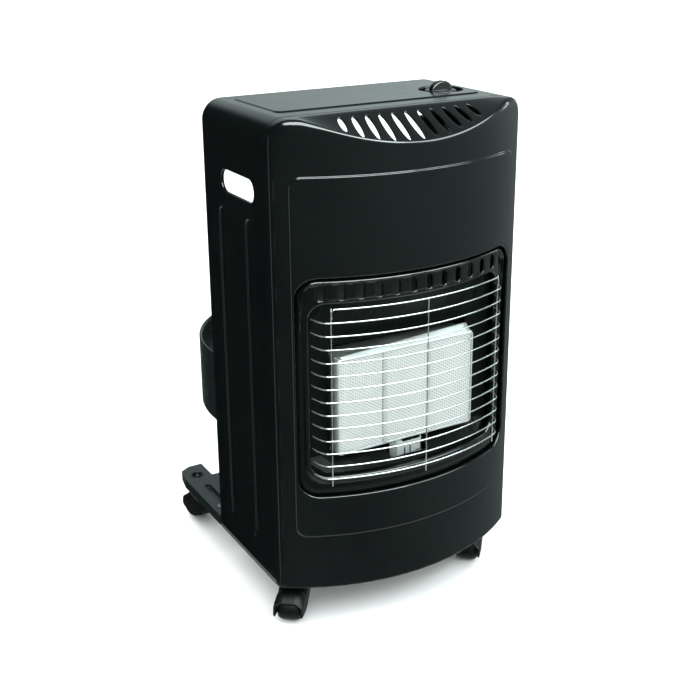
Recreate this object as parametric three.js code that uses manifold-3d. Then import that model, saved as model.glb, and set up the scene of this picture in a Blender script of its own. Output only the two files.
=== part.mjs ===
// A portable cabinet gas heater on casters: a bulged sheet-steel cabinet with a three-plaque
// infrared burner behind a wire guard, a control knob on top, and a folding rear base and
// hoop that hold the gas cylinder. Millimetres, +Z up, the front faces -Y.
// The origin is on the floor, under the middle of the heater's bounding box.
import * as THREE from 'three';
import { mergeVertices } from 'three/addons/utils/BufferGeometryUtils.js';
import Module from 'manifold-3d';

const wasm = await Module();
wasm.setup();

// General clearances
const gap = 0.3;
const overrun = 6;
const weldDistance = 0.0001;

// Cabinet: the bulge is how far the middle of the front stands before its corners
const cabinet = {
  width: 410,
  sideDepth: 210,
  bulge: 64,
  height: 691,
  sheet: 1.2,
  topRoll: 30,
  cornerRoll: 12,
  edgeRoll: 9,
  seamTongue: 14,
  tongueStep: 3,
};
const halfWidth = cabinet.width / 2;

// How far inside the cabinet's sides, and how far below its top, the other parts end
const fromSide = {
  topField: 37,
  knob: 73,
  scoop: 38,
  frontField: 21.5,
  window: 26,
  opening: 47,
  guardEnd: 42,
  guardStraight: 55,
  guardUpright: 65,
  burner: 88,
  mainPipe: 45,
  pilotPipe: 30,
  probeLead: 21,
  hoop: 5,
  frontCaster: 42,
  rearCaster: 23.5,
};
// How far behind, or in front of, the corners of the front other parts stand
const behindCorner = {
  seam: 11,
  topField: 43,
  firebox: 2,
  support: 4,
  plenumRear: 30,
  frontCaster: 32,
  pipes: 45,
  partition: 79.5,
};
const beforeCorner = { burner: 23.5, plenumFront: 9, pilot: 30 };
const fromTop = { handHole: 105, sideRib: 144, frontField: 74, partition: 171, valve: 29, nozzle: 49 };
const seamDepth = cabinet.sideDepth - behindCorner.seam;

// Hand hole in each side, its middle measured from the rear edge and from the bottom
const holeMiddle = cabinet.height - fromTop.handHole;
const handHole = { length: 105, height: 32, fromRear: 111, middle: holeMiddle, lip: 5 };

// Two pressed ribs in each side
const ribTop = cabinet.height - fromTop.sideRib;
const sideRib = { width: 27, bottom: 57, top: ribTop, depth: 2.5, fromRear: [59, 146] };

// Raised field on the top, and the round well that the knob sits in
const topFieldWidth = 2 * (halfWidth - fromSide.topField);
const topFieldFront = cabinet.sideDepth - behindCorner.topField;
const topField = { width: topFieldWidth, front: topFieldFront, rear: 25, corner: 12, rise: 1.5 };
const knobWell = { radius: 33, depth: 10, x: halfWidth - fromSide.knob, fromRear: 113 };

// Scooped outlet at the front of the top, with a fan of oval vents
const scoop = { halfWidth: halfWidth - fromSide.scoop, middleDrop: 37, endDrop: 1 };
const vent = { width: 9, fromEnd: 62, rearGap: 5, fan: 0.9 };
const ventLengths = [29, 40, 46, 51, 54, 54, 54, 51, 46, 38, 28];

// Raised field on the front and the window in it
const frontField = {
  halfWidth: halfWidth - fromSide.frontField,
  bottom: 86,
  top: cabinet.height - fromTop.frontField,
  corner: 16,
  rise: 2,
};
const frontWindow = {
  halfWidth: halfWidth - fromSide.window,
  bottom: 150,
  top: 478,
  corner: 30,
  rolledEdge: 9,
};

// Enamelled surround inside the window, with its own opening and upper slots
const surround = {
  edgeGap: 0.5,
  rimSetback: 3,
  rimWidth: 3,
  faceSetback: 6,
  sheet: 1.2,
  openHalfWidth: halfWidth - fromSide.opening,
  openBottom: 178,
  openTop: 438,
  openCorner: 22,
  throat: 14,
};
const surroundSlot = { count: 12, width: 9, fromEnd: 15, bottom: 444, top: 470 };

// Firebox behind the surround: a sloping floor and hood that meet a flat back
const firebox = {
  sheet: 1,
  backDepth: cabinet.sideDepth - behindCorner.firebox,
  backBottom: 197,
  backTop: 374,
  throatMargin: 1.5,
  burnerGap: 0.8,
};

// Wire guard
const guard = {
  standoff: 12,
  wireRadius: 1.5,
  wires: 14,
  bottom: 184,
  pitch: 19.5,
  endHalfWidth: halfWidth - fromSide.guardEnd,
  endGap: 1.6,
  straightHalfWidth: halfWidth - fromSide.guardStraight,
  uprightRadius: 1.2,
  uprightHalfWidth: halfWidth - fromSide.guardUpright,
  uprightBottom: 172,
  bite: 0.8,
};

// Burner: three ceramic plaques in a steel frame on a pressed plenum
const burner = {
  halfWidth: halfWidth - fromSide.burner,
  bottom: 202,
  top: 352,
  frontDepth: cabinet.sideDepth + beforeCorner.burner,
  frameSheet: 1.5,
  frameDepth: 18,
  mullion: 7,
  border: 5,
  lipRise: 12,
  plaqueThickness: 12,
  plaques: 3,
  plenumFront: cabinet.sideDepth + beforeCorner.plenumFront,
  plenumRear: cabinet.sideDepth - behindCorner.plenumRear,
  plenumWall: 1.5,
  plenumInset: 2,
};
const injector = { radius: 6, length: 18, bore: 1.2, aboveBurnerFoot: 75, fromPlenumRear: 14 };
const injectorDepth = burner.plenumRear + injector.fromPlenumRear;
const injectorZ = burner.bottom + injector.aboveBurnerFoot;
const supportDepth = cabinet.sideDepth - behindCorner.support;
const burnerSupport = { depth: 18, height: 16, wall: 2, frontDepth: supportDepth };

// Pilot group under the middle of the burner
const pilot = {
  halfWidth: 27,
  bottom: 176,
  depth: cabinet.sideDepth + beforeCorner.pilot,
  sheet: 1.2,
  wing: 12,
  burnerRadius: 4,
  burnerX: -8,
  electrodeX: 8,
  probeX: 16,
  rodRadius: 2,
  tipRadius: 1,
  reach: 14,
  strap: 11,
  slotHalfLength: 32,
  slotFront: 2,
  slotWidth: 22,
};

// Rear partition that parts the burner from the cylinder bay
const partition = {
  depth: cabinet.sideDepth - behindCorner.partition,
  sheet: 1,
  top: cabinet.height - fromTop.partition,
  flange: 10,
};

// Gas train under the knob
const valveBracket = { width: 74, depth: 40, thickness: 1.5, shift: 12 };
const valve = { width: 36, depth: 30, height: 34, neckRadius: 11, stemRadius: 4 };
const valveTop = cabinet.height - fromTop.valve;
const valveBottom = valveTop - valve.height;
const igniter = { radius: 8, length: 44, fromValve: 30 };
const nozzle = {
  radius: 6,
  length: 38,
  barb: 1,
  barbs: 3,
  bore: 2.5,
  z: cabinet.height - fromTop.nozzle,
};
const pipe = { mainRadius: 4, pilotRadius: 2, leadRadius: 1.5, steps: 24, sides: 6 };

// Control knob: a skirt with a half-round finger grip
const knob = {
  radius: 24,
  skirt: 7,
  chamfer: 2,
  lift: 4,
  press: 3,
  gripLength: 40,
  gripWidth: 12,
  gripRise: 13,
  gripTurn: 8,
  socketDepth: 12,
};

// Base pan of the cabinet and the hinge that it gives the folding rear base
const basePan = { sheet: 1.2, flange: 14, ribWidth: 30, ribSpacing: 75, ribRise: 15.8 };
const hinge = { behind: 14, height: 8.5, pinRadius: 2.5, lug: 3, lugRadius: 6, headRadius: 4.5, head: 2 };

// Folding rear base: two channel rails and a cross tray that the cylinder stands on
const rail = {
  width: 47,
  height: 17,
  wall: 1.5,
  front: 4,
  rear: 190,
  tipDepth: 40,
  holeRadius: 10,
  holeBehind: 154,
  slotWidth: 10,
  slotFront: 45,
  slotRear: 112,
  slotFromSide: 24,
  screwBehind: 33,
  screwFromSide: 12,
};
const railScrew = { headRadius: 4.5, head: 2.2, shankRadius: 2, shank: 6 };
const tray = { front: 27, rear: 142, sheet: 1.2, lip: 12 };

// Hoop round the gas cylinder, hung on two studs inside the sides
const hoop = {
  outerRadius: halfWidth - fromSide.hoop,
  centreBehind: 25,
  bottom: 182,
  top: 297,
  sheet: 1.5,
  bead: 5,
  pivotInFront: 14,
  pivotHeight: 240,
  tabRadius: 18,
  segments: 32,
};
const hoopStud = { collarRadius: 6, shankRadius: 3, headRadius: 5, head: 2.5 };

// Casters: the trail is from the king pin to the axle
const caster = {
  height: 58,
  wheelRadius: 20,
  wheelWidth: 34,
  treadWidth: 14,
  shoulder: 4,
  trail: 38,
  plate: 46,
  plateThickness: 2.5,
  kingPinRadius: 4,
  kingPinLength: 20,
  axleRadius: 3,
  hoodRadius: 24.5,
  hoodWidth: 44,
  hoodCrown: 13,
  bossReach: 13,
  tipDrop: 7,
  mouthLift: 15,
  wheelGap: 1.6,
  frontX: halfWidth - fromSide.frontCaster,
  frontDepth: cabinet.sideDepth - behindCorner.frontCaster,
  rearX: halfWidth - fromSide.rearCaster,
  rearBehind: 113.5,
};
// How each caster is turned: degrees from +X to the side that the wheel trails on
const casterTurns = { front_left: 231, front_right: 228, rear_left: 89, rear_right: 75 };

// Values that follow from the sizes
const ventPitch = (2 * (scoop.halfWidth - vent.fromEnd)) / (ventLengths.length - 1);
const slotPitch = (2 * (surround.openHalfWidth - surroundSlot.fromEnd)) / (surroundSlot.count - 1);
const skinRadius = (halfWidth ** 2 + cabinet.bulge ** 2) / (2 * cabinet.bulge);
const skinCentreY = skinRadius - cabinet.sideDepth - cabinet.bulge;
const wellFloor = cabinet.height - knobWell.depth;
const wellUnderside = wellFloor - cabinet.sheet;
const knobY = -knobWell.fromRear;

// Finishes
function finish(color, roughness, metalness) {
  return new THREE.MeshStandardMaterial({ color, roughness, metalness });
}

const satinBlack = finish('#1c2122', 0.38, 0.3);
const glossBlack = finish('#101415', 0.15, 0.2);
const railPaint = finish('#2f3837', 0.5, 0.3);
const chromeWire = finish('#d8dcdc', 0.18, 1);
const paleSteel = finish('#c4cac8', 0.35, 0.9);
const zincSteel = finish('#9aa0a0', 0.4, 0.9);
const plaqueWhite = finish('#ece9e2', 0.9, 0);
const brass = finish('#b08d4a', 0.35, 1);
const copper = finish('#b06a45', 0.4, 1);
const blackPlastic = finish('#141615', 0.55, 0);
const insulatorWhite = finish('#e8e6df', 0.4, 0);

// Turn a closed three.js geometry into a solid, with its faces pointing out
function toSolid(geometry) {
  const bare = geometry.clone();
  bare.deleteAttribute('normal');
  bare.deleteAttribute('uv');
  const welded = mergeVertices(bare, weldDistance);
  const points = welded.getAttribute('position').array;
  const corners = welded.getIndex().array;
  const triangles = [];
  let volume = 0;
  const at = (i) => new THREE.Vector3(points[3 * i], points[3 * i + 1], points[3 * i + 2]);
  for (let i = 0; i < corners.length; i += 3) {
    const [a, b, c] = [corners[i], corners[i + 1], corners[i + 2]];
    if (a === b || b === c || c === a) continue;
    triangles.push(a, b, c);
    volume += at(a).dot(at(b).cross(at(c)));
  }
  if (volume < 0) triangles.reverse();
  return new wasm.Manifold(new wasm.Mesh({
    numProp: 3,
    vertProperties: new Float32Array(points),
    triVerts: new Uint32Array(triangles),
  }));
}

// Turn a solid back into a three.js geometry
function toGeometry(solid) {
  const mesh = solid.getMesh();
  const geometry = new THREE.BufferGeometry();
  geometry.setAttribute('position', new THREE.BufferAttribute(mesh.vertProperties, 3));
  geometry.setIndex(new THREE.BufferAttribute(mesh.triVerts, 1));
  geometry.computeVertexNormals();
  return geometry;
}

const unite = (...solids) => solids.reduce((sum, one) => sum.add(one));
const cut = (solid, ...tools) => tools.reduce((rest, one) => rest.subtract(one), solid);

// Plain solids: each extrusion takes a shape drawn in the plane across its axis,
// and draws every arc of it with the given number of segments
function extrude(shape, depth, arcSegments) {
  return new THREE.ExtrudeGeometry(shape, { depth, bevelEnabled: false, curveSegments: arcSegments / 2 });
}

const extrudeZ = (shape, low, high, arcSegments = 4) =>
  toSolid(extrude(shape, high - low, arcSegments).translate(0, 0, low));
const extrudeY = (shape, low, high, arcSegments = 4) =>
  toSolid(extrude(shape, high - low, arcSegments).rotateX(Math.PI / 2).translate(0, high, 0));

function extrudeX(shape, low, high, arcSegments = 4) {
  const geometry = extrude(shape, high - low, arcSegments);
  const axes = [new THREE.Vector3(0, 1, 0), new THREE.Vector3(0, 0, 1), new THREE.Vector3(1, 0, 0)];
  geometry.applyMatrix4(new THREE.Matrix4().makeBasis(...axes));
  return toSolid(geometry.translate(low, 0, 0));
}

function block(x0, x1, y0, y1, z0, z1) {
  const geometry = new THREE.BoxGeometry(x1 - x0, y1 - y0, z1 - z0);
  return toSolid(geometry.translate((x0 + x1) / 2, (y0 + y1) / 2, (z0 + z1) / 2));
}

// A round bar from one height to another, with its axis along Z before it is laid over
function barGeometry(radius, low, high, sides) {
  const geometry = new THREE.CylinderGeometry(radius, radius, high - low, sides);
  return geometry.rotateX(Math.PI / 2).translate(0, 0, (low + high) / 2);
}

const barZ = (radius, low, high, x, y, sides = 20) =>
  toSolid(barGeometry(radius, low, high, sides).translate(x, y, 0));
const barX = (radius, low, high, y, z, sides = 20) =>
  toSolid(barGeometry(radius, low, high, sides).rotateY(Math.PI / 2).translate(0, y, z));
const barY = (radius, low, high, x, z, sides = 20) =>
  toSolid(barGeometry(radius, -high, -low, sides).rotateX(Math.PI / 2).translate(x, 0, z));

// A body turned about Z from a closed outline of [radius, height] points
function turned(outline, sides = 24) {
  const profile = outline.map(([radius, height]) => new THREE.Vector2(radius, height));
  return toSolid(new THREE.LatheGeometry(profile, sides).rotateX(Math.PI / 2));
}

function place(solid, x, y, z) {
  return solid.translate([x, y, z]);
}

// A solid skinned through rings of equally many points, closed by two flat caps
function loft(rings, flatten) {
  const turn = THREE.ShapeUtils.area(rings[0].map(flatten)) < 0;
  const loops = turn ? rings.map((ring) => [...ring].reverse()) : rings;
  const count = loops[0].length;
  const last = (loops.length - 1) * count;
  const index = [];
  for (let i = 0; i + 1 < loops.length; i += 1) {
    for (let j = 0; j < count; j += 1) {
      const a = i * count + j;
      const b = i * count + ((j + 1) % count);
      index.push(a, b, b + count, a, b + count, a + count);
    }
  }
  const cap = THREE.ShapeUtils.triangulateShape(loops[0].map(flatten), []);
  for (const [a, b, c] of cap) {
    const flat = [a, b, c].map((i) => flatten(loops[0][i]));
    const [p, q, r] = THREE.ShapeUtils.area(flat) > 0 ? [a, b, c] : [a, c, b];
    index.push(p, r, q, last + p, last + q, last + r);
  }
  const geometry = new THREE.BufferGeometry().setFromPoints(loops.flat());
  geometry.setIndex(index);
  return toSolid(geometry);
}

function roundedRect(x0, x1, y0, y1, radius) {
  const shape = new THREE.Shape();
  shape.moveTo(x0 + radius, y0);
  shape.lineTo(x1 - radius, y0);
  shape.absarc(x1 - radius, y0 + radius, radius, -Math.PI / 2, 0, false);
  shape.lineTo(x1, y1 - radius);
  shape.absarc(x1 - radius, y1 - radius, radius, 0, Math.PI / 2, false);
  shape.lineTo(x0 + radius, y1);
  shape.absarc(x0 + radius, y1 - radius, radius, Math.PI / 2, Math.PI, false);
  shape.lineTo(x0, y0 + radius);
  shape.absarc(x0 + radius, y0 + radius, radius, Math.PI, 1.5 * Math.PI, false);
  return shape;
}

const polygon = (points) => new THREE.Shape(points.map(([a, b]) => new THREE.Vector2(a, b)));

// The plan of the front: straight sides, rolled corners and the bulge, inset from the skin
function planPoints(inset, rearY) {
  const side = halfWidth - inset;
  const radius = skinRadius - inset;
  const filletRadius = Math.max(cabinet.cornerRoll - inset, 0);
  const filletX = side - filletRadius;
  const filletY = skinCentreY - Math.sqrt((radius - filletRadius) ** 2 - filletX ** 2);
  const spread = Math.atan2(filletX, skinCentreY - filletY);
  const right = [];
  const filletSteps = filletRadius ? 4 : 0;
  for (let i = 0; i <= filletSteps; i += 1) {
    const angle = filletSteps ? (i / filletSteps) * (spread - Math.PI / 2) : 0;
    right.push([filletX + filletRadius * Math.cos(angle), filletY + filletRadius * Math.sin(angle)]);
  }
  const bulgeSteps = 9;
  for (let i = 1; i < bulgeSteps; i += 1) {
    const angle = spread * (1 - i / bulgeSteps);
    right.push([radius * Math.sin(angle), skinCentreY - radius * Math.cos(angle)]);
  }
  const left = right.map(([x, y]) => [-x, y]).reverse();
  return [[side, rearY], ...right, [0, skinCentreY - radius], ...left, [-side, rearY]];
}

const skinY = (x, inset) => skinCentreY - Math.sqrt((skinRadius - inset) ** 2 - x ** 2);

// The same plan raised to a solid whose upper edge is rolled over
function planSolid(inset, rearY, low, high, rolled) {
  const steps = rolled ? 3 : 0;
  const rings = [planPoints(inset, rearY).map(([x, y]) => new THREE.Vector3(x, y, low))];
  const roll = cabinet.edgeRoll - inset;
  for (let i = 0; i <= steps; i += 1) {
    const angle = steps ? (i / steps) * (Math.PI / 2) : 0;
    const z = rolled ? high - roll * (1 - Math.sin(angle)) : high;
    const deeper = rolled ? roll * (1 - Math.cos(angle)) : 0;
    rings.push(planPoints(inset + deeper, rearY).map(([x, y]) => new THREE.Vector3(x, y, z)));
  }
  return loft(rings, (p) => new THREE.Vector2(p.x, p.y));
}

// The cabinet seen from the front: two sides and a top joined by the rolled shoulders
function archShape(inset, bottom) {
  const side = halfWidth - inset;
  const radius = cabinet.topRoll - inset;
  const shoulder = cabinet.height - cabinet.topRoll;
  const shape = new THREE.Shape();
  shape.moveTo(-side, bottom);
  shape.lineTo(side, bottom);
  shape.lineTo(side, shoulder);
  shape.absarc(side - radius, shoulder, radius, 0, Math.PI / 2, false);
  shape.lineTo(radius - side, cabinet.height - inset);
  shape.absarc(radius - side, shoulder, radius, Math.PI / 2, Math.PI, false);
  return shape;
}

// Cabinet shell: the two sides and the top in one wrap, open at the front and the back
function cabinetShell() {
  const { sheet } = cabinet;
  const front = -(seamDepth - gap);
  let outer = extrudeY(archShape(0, 0), front, 0);
  let inner = extrudeY(archShape(sheet, -overrun), front - overrun, overrun);
  const field = (grow) => roundedRect(
    -topField.width / 2 + grow,
    topField.width / 2 - grow,
    -topField.front + grow,
    -topField.rear - grow,
    topField.corner - grow,
  );
  outer = outer.add(extrudeZ(field(0), cabinet.height - sheet, cabinet.height + topField.rise));
  const under = cabinet.height - sheet;
  inner = inner.add(extrudeZ(field(sheet), under - overrun, under + topField.rise));
  outer = outer.subtract(barZ(knobWell.radius, wellFloor, cabinet.height + overrun, knobWell.x, knobY, 32));
  inner = inner.subtract(
    barZ(knobWell.radius + sheet, wellUnderside, cabinet.height + overrun, knobWell.x, knobY, 32),
  );
  for (const side of [-1, 1]) {
    for (const fromRear of sideRib.fromRear) {
      outer = outer.subtract(ribPrism(side, fromRear, 0, sideRib.depth));
      inner = inner.subtract(ribPrism(side, fromRear, sheet, sideRib.depth + sheet));
    }
  }
  let shell = outer.subtract(inner);
  for (const side of [-1, 1]) {
    shell = shell.add(sidePrism(handHoleShape(sheet), side, 0, handHole.lip));
    shell = shell.subtract(sidePrism(handHoleShape(0), side, -overrun, handHole.lip + overrun));
  }
  const stemBore = barZ(valve.stemRadius + gap, wellUnderside - overrun, cabinet.height, knobWell.x, knobY);
  return shell.subtract(stemBore);
}

function ribPrism(side, fromRear, grow, depth) {
  const half = sideRib.width / 2 + grow;
  const y = -fromRear;
  const shape = roundedRect(y - half, y + half, sideRib.bottom - grow, sideRib.top + grow, half);
  return sidePrism(shape, side, -overrun, depth);
}

function handHoleShape(grow) {
  const half = handHole.height / 2 + grow;
  const reach = handHole.length / 2 + grow;
  const y = -handHole.fromRear;
  return roundedRect(y - reach, y + reach, handHole.middle - half, handHole.middle + half, half);
}

// A prism through one side wall, measured inwards from the outer skin
function sidePrism(shape, side, from, to) {
  const low = side > 0 ? halfWidth - to : -halfWidth + from;
  const high = side > 0 ? halfWidth - from : -halfWidth + to;
  return extrudeX(shape, low, high);
}

// Wedge that hollows the scoop: ruled from the straight fold down to the curved lip
function scoopCutter(lower) {
  const stations = 16;
  const foldY = -cabinet.sideDepth;
  const reach = cabinet.bulge + overrun;
  const rings = [];
  for (let i = 0; i <= stations; i += 1) {
    const x = scoop.halfWidth * ((2 * i) / stations - 1);
    const drop = scoop.middleDrop - (scoop.middleDrop - scoop.endDrop) * (x / scoop.halfWidth) ** 2;
    const slope = drop / (foldY - skinY(x, 0));
    const high = cabinet.height + overrun;
    rings.push([
      new THREE.Vector3(x, foldY, cabinet.height - lower),
      new THREE.Vector3(x, foldY - reach, cabinet.height - lower - slope * reach),
      new THREE.Vector3(x, foldY - reach, high),
      new THREE.Vector3(x, foldY, high),
    ]);
  }
  return loft(rings, (p) => new THREE.Vector2(p.y, p.z));
}

// The vents fan out a little towards their front ends
function ventPrism(index) {
  const middle = (ventLengths.length - 1) / 2;
  const x = (index - middle) * ventPitch;
  const half = vent.width / 2;
  const length = ventLengths[index];
  const shape = new THREE.Shape();
  shape.absellipse(0, -length / 2, half, length / 2, 0, 2 * Math.PI, false);
  const turn = THREE.MathUtils.degToRad((index - middle) * vent.fan);
  const low = cabinet.height - scoop.middleDrop - 2 * overrun;
  const prism = extrudeZ(shape, low, cabinet.height + overrun, 14);
  const start = -cabinet.sideDepth - vent.rearGap;
  return place(prism.rotate([0, 0, THREE.MathUtils.radToDeg(turn)]), x, start, 0);
}

function windowShape(grow) {
  const w = frontWindow;
  const half = w.halfWidth + grow;
  return roundedRect(-half, half, w.bottom - grow, w.top + grow, w.corner + grow);
}

// A band of the front skin between two insets
function skinBand(from, to, rearY) {
  const high = cabinet.height;
  const core = planSolid(to, rearY + overrun, -overrun, high + overrun, false);
  return planSolid(from, rearY, 0, high, false).subtract(core);
}

// Front panel: bulged skin, scoop with its vents, raised field and the window's rolled edge
function frontPanel() {
  const { sheet } = cabinet;
  const farFront = -(cabinet.sideDepth + cabinet.bulge + overrun);
  const seam = -seamDepth;
  const f = frontField;
  const fieldPrism = (grow) => extrudeY(
    roundedRect(-f.halfWidth + grow, f.halfWidth - grow, f.bottom + grow, f.top - grow, f.corner - grow),
    farFront,
    skinY(f.halfWidth, 0) + overrun,
  );
  let outer = planSolid(0, seam, 0, cabinet.height, true);
  outer = outer.intersect(extrudeY(archShape(0, 0), farFront, seam));
  outer = outer.add(planSolid(-f.rise, seam, 0, cabinet.height, false).intersect(fieldPrism(0)));
  let inner = planSolid(sheet, seam + overrun, -overrun, cabinet.height - sheet, true);
  inner = inner.intersect(extrudeY(archShape(sheet, -overrun), farFront, seam + overrun));
  inner = inner.add(planSolid(sheet - f.rise, seam, 0, cabinet.height, false).intersect(fieldPrism(sheet)));
  outer = outer.subtract(scoopCutter(0));
  inner = inner.subtract(scoopCutter(sheet));
  const edgePrism = extrudeY(windowShape(sheet), farFront, seam);
  const edge = skinBand(-f.rise, frontWindow.rolledEdge, seam).intersect(edgePrism);
  let panel = outer.subtract(inner).add(edge);
  panel = panel.subtract(extrudeY(windowShape(0), farFront - overrun, seam + overrun));
  for (let i = 0; i < ventLengths.length; i += 1) panel = panel.subtract(ventPrism(i));
  return panel.add(seamTongue());
}

// Stepped tongue on the rear edge of the front panel, which slides inside the shell
function seamTongue() {
  const { sheet } = cabinet;
  const seam = -seamDepth;
  const bottom = basePan.flange + gap;
  const band = (from, to, y0, y1) => extrudeY(archShape(from, bottom), y0, y1)
    .subtract(extrudeY(archShape(to, bottom - overrun), y0 - overrun, y1 + overrun));
  const inside = 2 * sheet + gap;
  const root = band(sheet / 2, inside, seam - cabinet.tongueStep, seam - gap);
  return root.add(band(sheet + gap, inside, seam - cabinet.tongueStep, seam + cabinet.seamTongue));
}

// Surround: a curved face set back in the window, with a raised rim, a throat and slots
function burnerSurround() {
  const s = surround;
  const rear = skinY(frontWindow.halfWidth, 0) + cabinet.sideDepth / 2;
  const farFront = -(cabinet.sideDepth + cabinet.bulge + overrun);
  const outline = (grow) => extrudeY(windowShape(-s.edgeGap - grow), farFront, rear);
  const openShape = (grow) => roundedRect(
    -s.openHalfWidth - grow,
    s.openHalfWidth + grow,
    s.openBottom - grow,
    s.openTop + grow,
    s.openCorner + grow,
  );
  const open = (grow) => extrudeY(openShape(grow), farFront, rear + overrun);
  const backInset = s.faceSetback + s.sheet;
  const face = skinBand(s.faceSetback, backInset, rear).intersect(outline(0));
  const rim = skinBand(s.rimSetback, backInset, rear).intersect(outline(0).subtract(outline(s.rimWidth)));
  const throat = skinBand(s.faceSetback, s.faceSetback + s.throat, rear).intersect(open(s.sheet));
  let body = unite(face, rim, throat).subtract(open(0));
  const slot = surroundSlot;
  for (let i = 0; i < slot.count; i += 1) {
    const x = (i - (slot.count - 1) / 2) * slotPitch;
    const shape = roundedRect(x - slot.width / 2, x + slot.width / 2, slot.bottom, slot.top, slot.width / 2);
    body = body.subtract(extrudeY(shape, farFront, rear, 2));
  }
  return body;
}

// Firebox: floor and hood ruled from the curved throat to the flat back, which the burner passes
function fireboxBody() {
  const f = firebox;
  const s = surround;
  const throatInset = s.faceSetback + s.throat + gap;
  const sideX = s.openHalfWidth + s.sheet + f.throatMargin;
  const stations = 12;
  const section = (x, shrink) => {
    const mouth = skinY(x, throatInset);
    const low = s.openBottom - f.throatMargin + shrink;
    const high = s.openTop + f.throatMargin - shrink;
    return [[mouth, low], [-f.backDepth - shrink, f.backBottom + shrink],
      [-f.backDepth - shrink, f.backTop - shrink], [mouth, high]];
  };
  const rings = [];
  for (let i = 0; i <= stations; i += 1) {
    const x = sideX * ((2 * i) / stations - 1);
    const outline = [...section(x, 0), ...section(x, f.sheet).reverse()];
    rings.push(outline.map(([y, z]) => new THREE.Vector3(x, y, z)));
  }
  let box = loft(rings, (p) => new THREE.Vector2(p.y, p.z));
  for (const side of [-1, 1]) {
    const low = side > 0 ? sideX - f.sheet : -sideX;
    box = box.add(extrudeX(polygon(section(sideX, 0)), low, low + f.sheet));
  }
  const b = burner;
  const burnerHole = block(
    -b.halfWidth - f.burnerGap,
    b.halfWidth + f.burnerGap,
    -f.backDepth - overrun,
    -f.backDepth + overrun,
    b.bottom - f.burnerGap,
    b.top + b.lipRise + f.burnerGap,
  );
  const p = pilot;
  const pilotSlot = block(
    -p.slotHalfLength,
    p.slotHalfLength,
    -p.depth - p.slotFront,
    -p.depth + p.slotWidth,
    s.openBottom - overrun,
    f.backBottom + overrun,
  );
  return cut(box, burnerHole, pilotSlot);
}

// One wire of the guard: along the bulge, then hooked back to the surround at both ends
function guardWire(z, straight) {
  const endY = skinY(guard.endHalfWidth, surround.faceSetback) - guard.endGap;
  const bend = (x) => {
    const past = Math.max(Math.abs(x) - guard.straightHalfWidth, 0);
    const span = guard.endHalfWidth - guard.straightHalfWidth;
    const mouth = skinY(guard.endHalfWidth, -guard.standoff);
    return (endY - mouth) * (past / span) ** 2;
  };
  const limit = straight ? guard.uprightHalfWidth : guard.endHalfWidth;
  const arcSteps = 10;
  const points = [];
  const inner = Math.min(limit, guard.straightHalfWidth);
  for (let i = 0; i <= arcSteps; i += 1) points.push(inner * ((2 * i) / arcSteps - 1));
  if (!straight) {
    const hook = [1, 2, 3].map((i) => inner + (limit - inner) * Math.sqrt(i / 3));
    points.push(...hook);
    points.unshift(...hook.map((x) => -x).reverse());
  }
  const route = points.map((x) => new THREE.Vector3(x, skinY(x, -guard.standoff) + bend(x), z));
  return wireThrough(route, guard.wireRadius);
}

// A wire of five sides through points that lie at one height, cut square at its ends
function wireThrough(points, radius) {
  const sides = 5;
  const rings = points.map((point, i) => {
    const before = points[Math.max(i - 1, 0)];
    const after = points[Math.min(i + 1, points.length - 1)];
    const along = after.clone().sub(before).normalize();
    const across = new THREE.Vector3(-along.y, along.x, 0);
    const ring = [];
    for (let j = 0; j < sides; j += 1) {
      const angle = (j / sides) * 2 * Math.PI;
      const offset = across.clone().multiplyScalar(-radius * Math.cos(angle));
      ring.push(point.clone().add(offset).add(new THREE.Vector3(0, 0, radius * Math.sin(angle))));
    }
    return ring;
  });
  const start = points[0];
  const along = points[1].clone().sub(start).normalize();
  const across = new THREE.Vector3(-along.y, along.x, 0);
  return loft(rings, (p) => new THREE.Vector2(p.clone().sub(start).dot(across), p.z));
}

function guardGrille() {
  const g = guard;
  const top = g.bottom + (g.wires - 1) * g.pitch;
  const uprights = [-1, 0, 1].map((side) => {
    const x = side * g.uprightHalfWidth;
    const y = skinY(x, -g.standoff) + g.wireRadius + g.uprightRadius - g.bite;
    return barZ(g.uprightRadius, g.uprightBottom, top + g.wireRadius, x, y, 6);
  });
  const wires = [];
  for (let i = 0; i < g.wires; i += 1) wires.push(guardWire(g.bottom + i * g.pitch, i === g.wires - 1));
  return unite(...uprights, ...wires);
}

const plaqueWidth = (2 * (burner.halfWidth - burner.frameSheet - gap)) / burner.plaques;

function plaqueBox(index) {
  const b = burner;
  const x = (index - (b.plaques - 1) / 2) * plaqueWidth;
  const front = -b.frontDepth + b.frameSheet + gap;
  const half = plaqueWidth / 2 - gap;
  const inset = b.frameSheet + gap;
  return block(x - half, x + half, front, front + b.plaqueThickness, b.bottom + inset, b.top - inset);
}

// Burner frame: an open box with three windows and a sloping lip along its top
function burnerFrame() {
  const b = burner;
  const front = -b.frontDepth;
  const rear = front + b.frameDepth;
  const t = b.frameSheet;
  const box = block(-b.halfWidth, b.halfWidth, front, rear, b.bottom, b.top);
  const inside = b.halfWidth - t;
  const hollow = block(-inside, inside, front + t, rear + overrun, b.bottom + t, b.top - t);
  const windows = [];
  for (let i = 0; i < b.plaques; i += 1) {
    const x = (i - (b.plaques - 1) / 2) * plaqueWidth;
    const half = (plaqueWidth - b.mullion) / 2;
    const [low, high] = [b.bottom + b.border, b.top - b.border];
    windows.push(block(x - half, x + half, front - overrun, front + 2 * t, low, high));
  }
  const crest = b.top + b.lipRise;
  const lip = extrudeX(
    polygon([[front, b.top - t], [rear - t, crest], [rear, crest], [rear, b.top - t]]),
    -b.halfWidth,
    b.halfWidth,
  );
  return cut(box, hollow, ...windows).add(lip);
}

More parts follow.
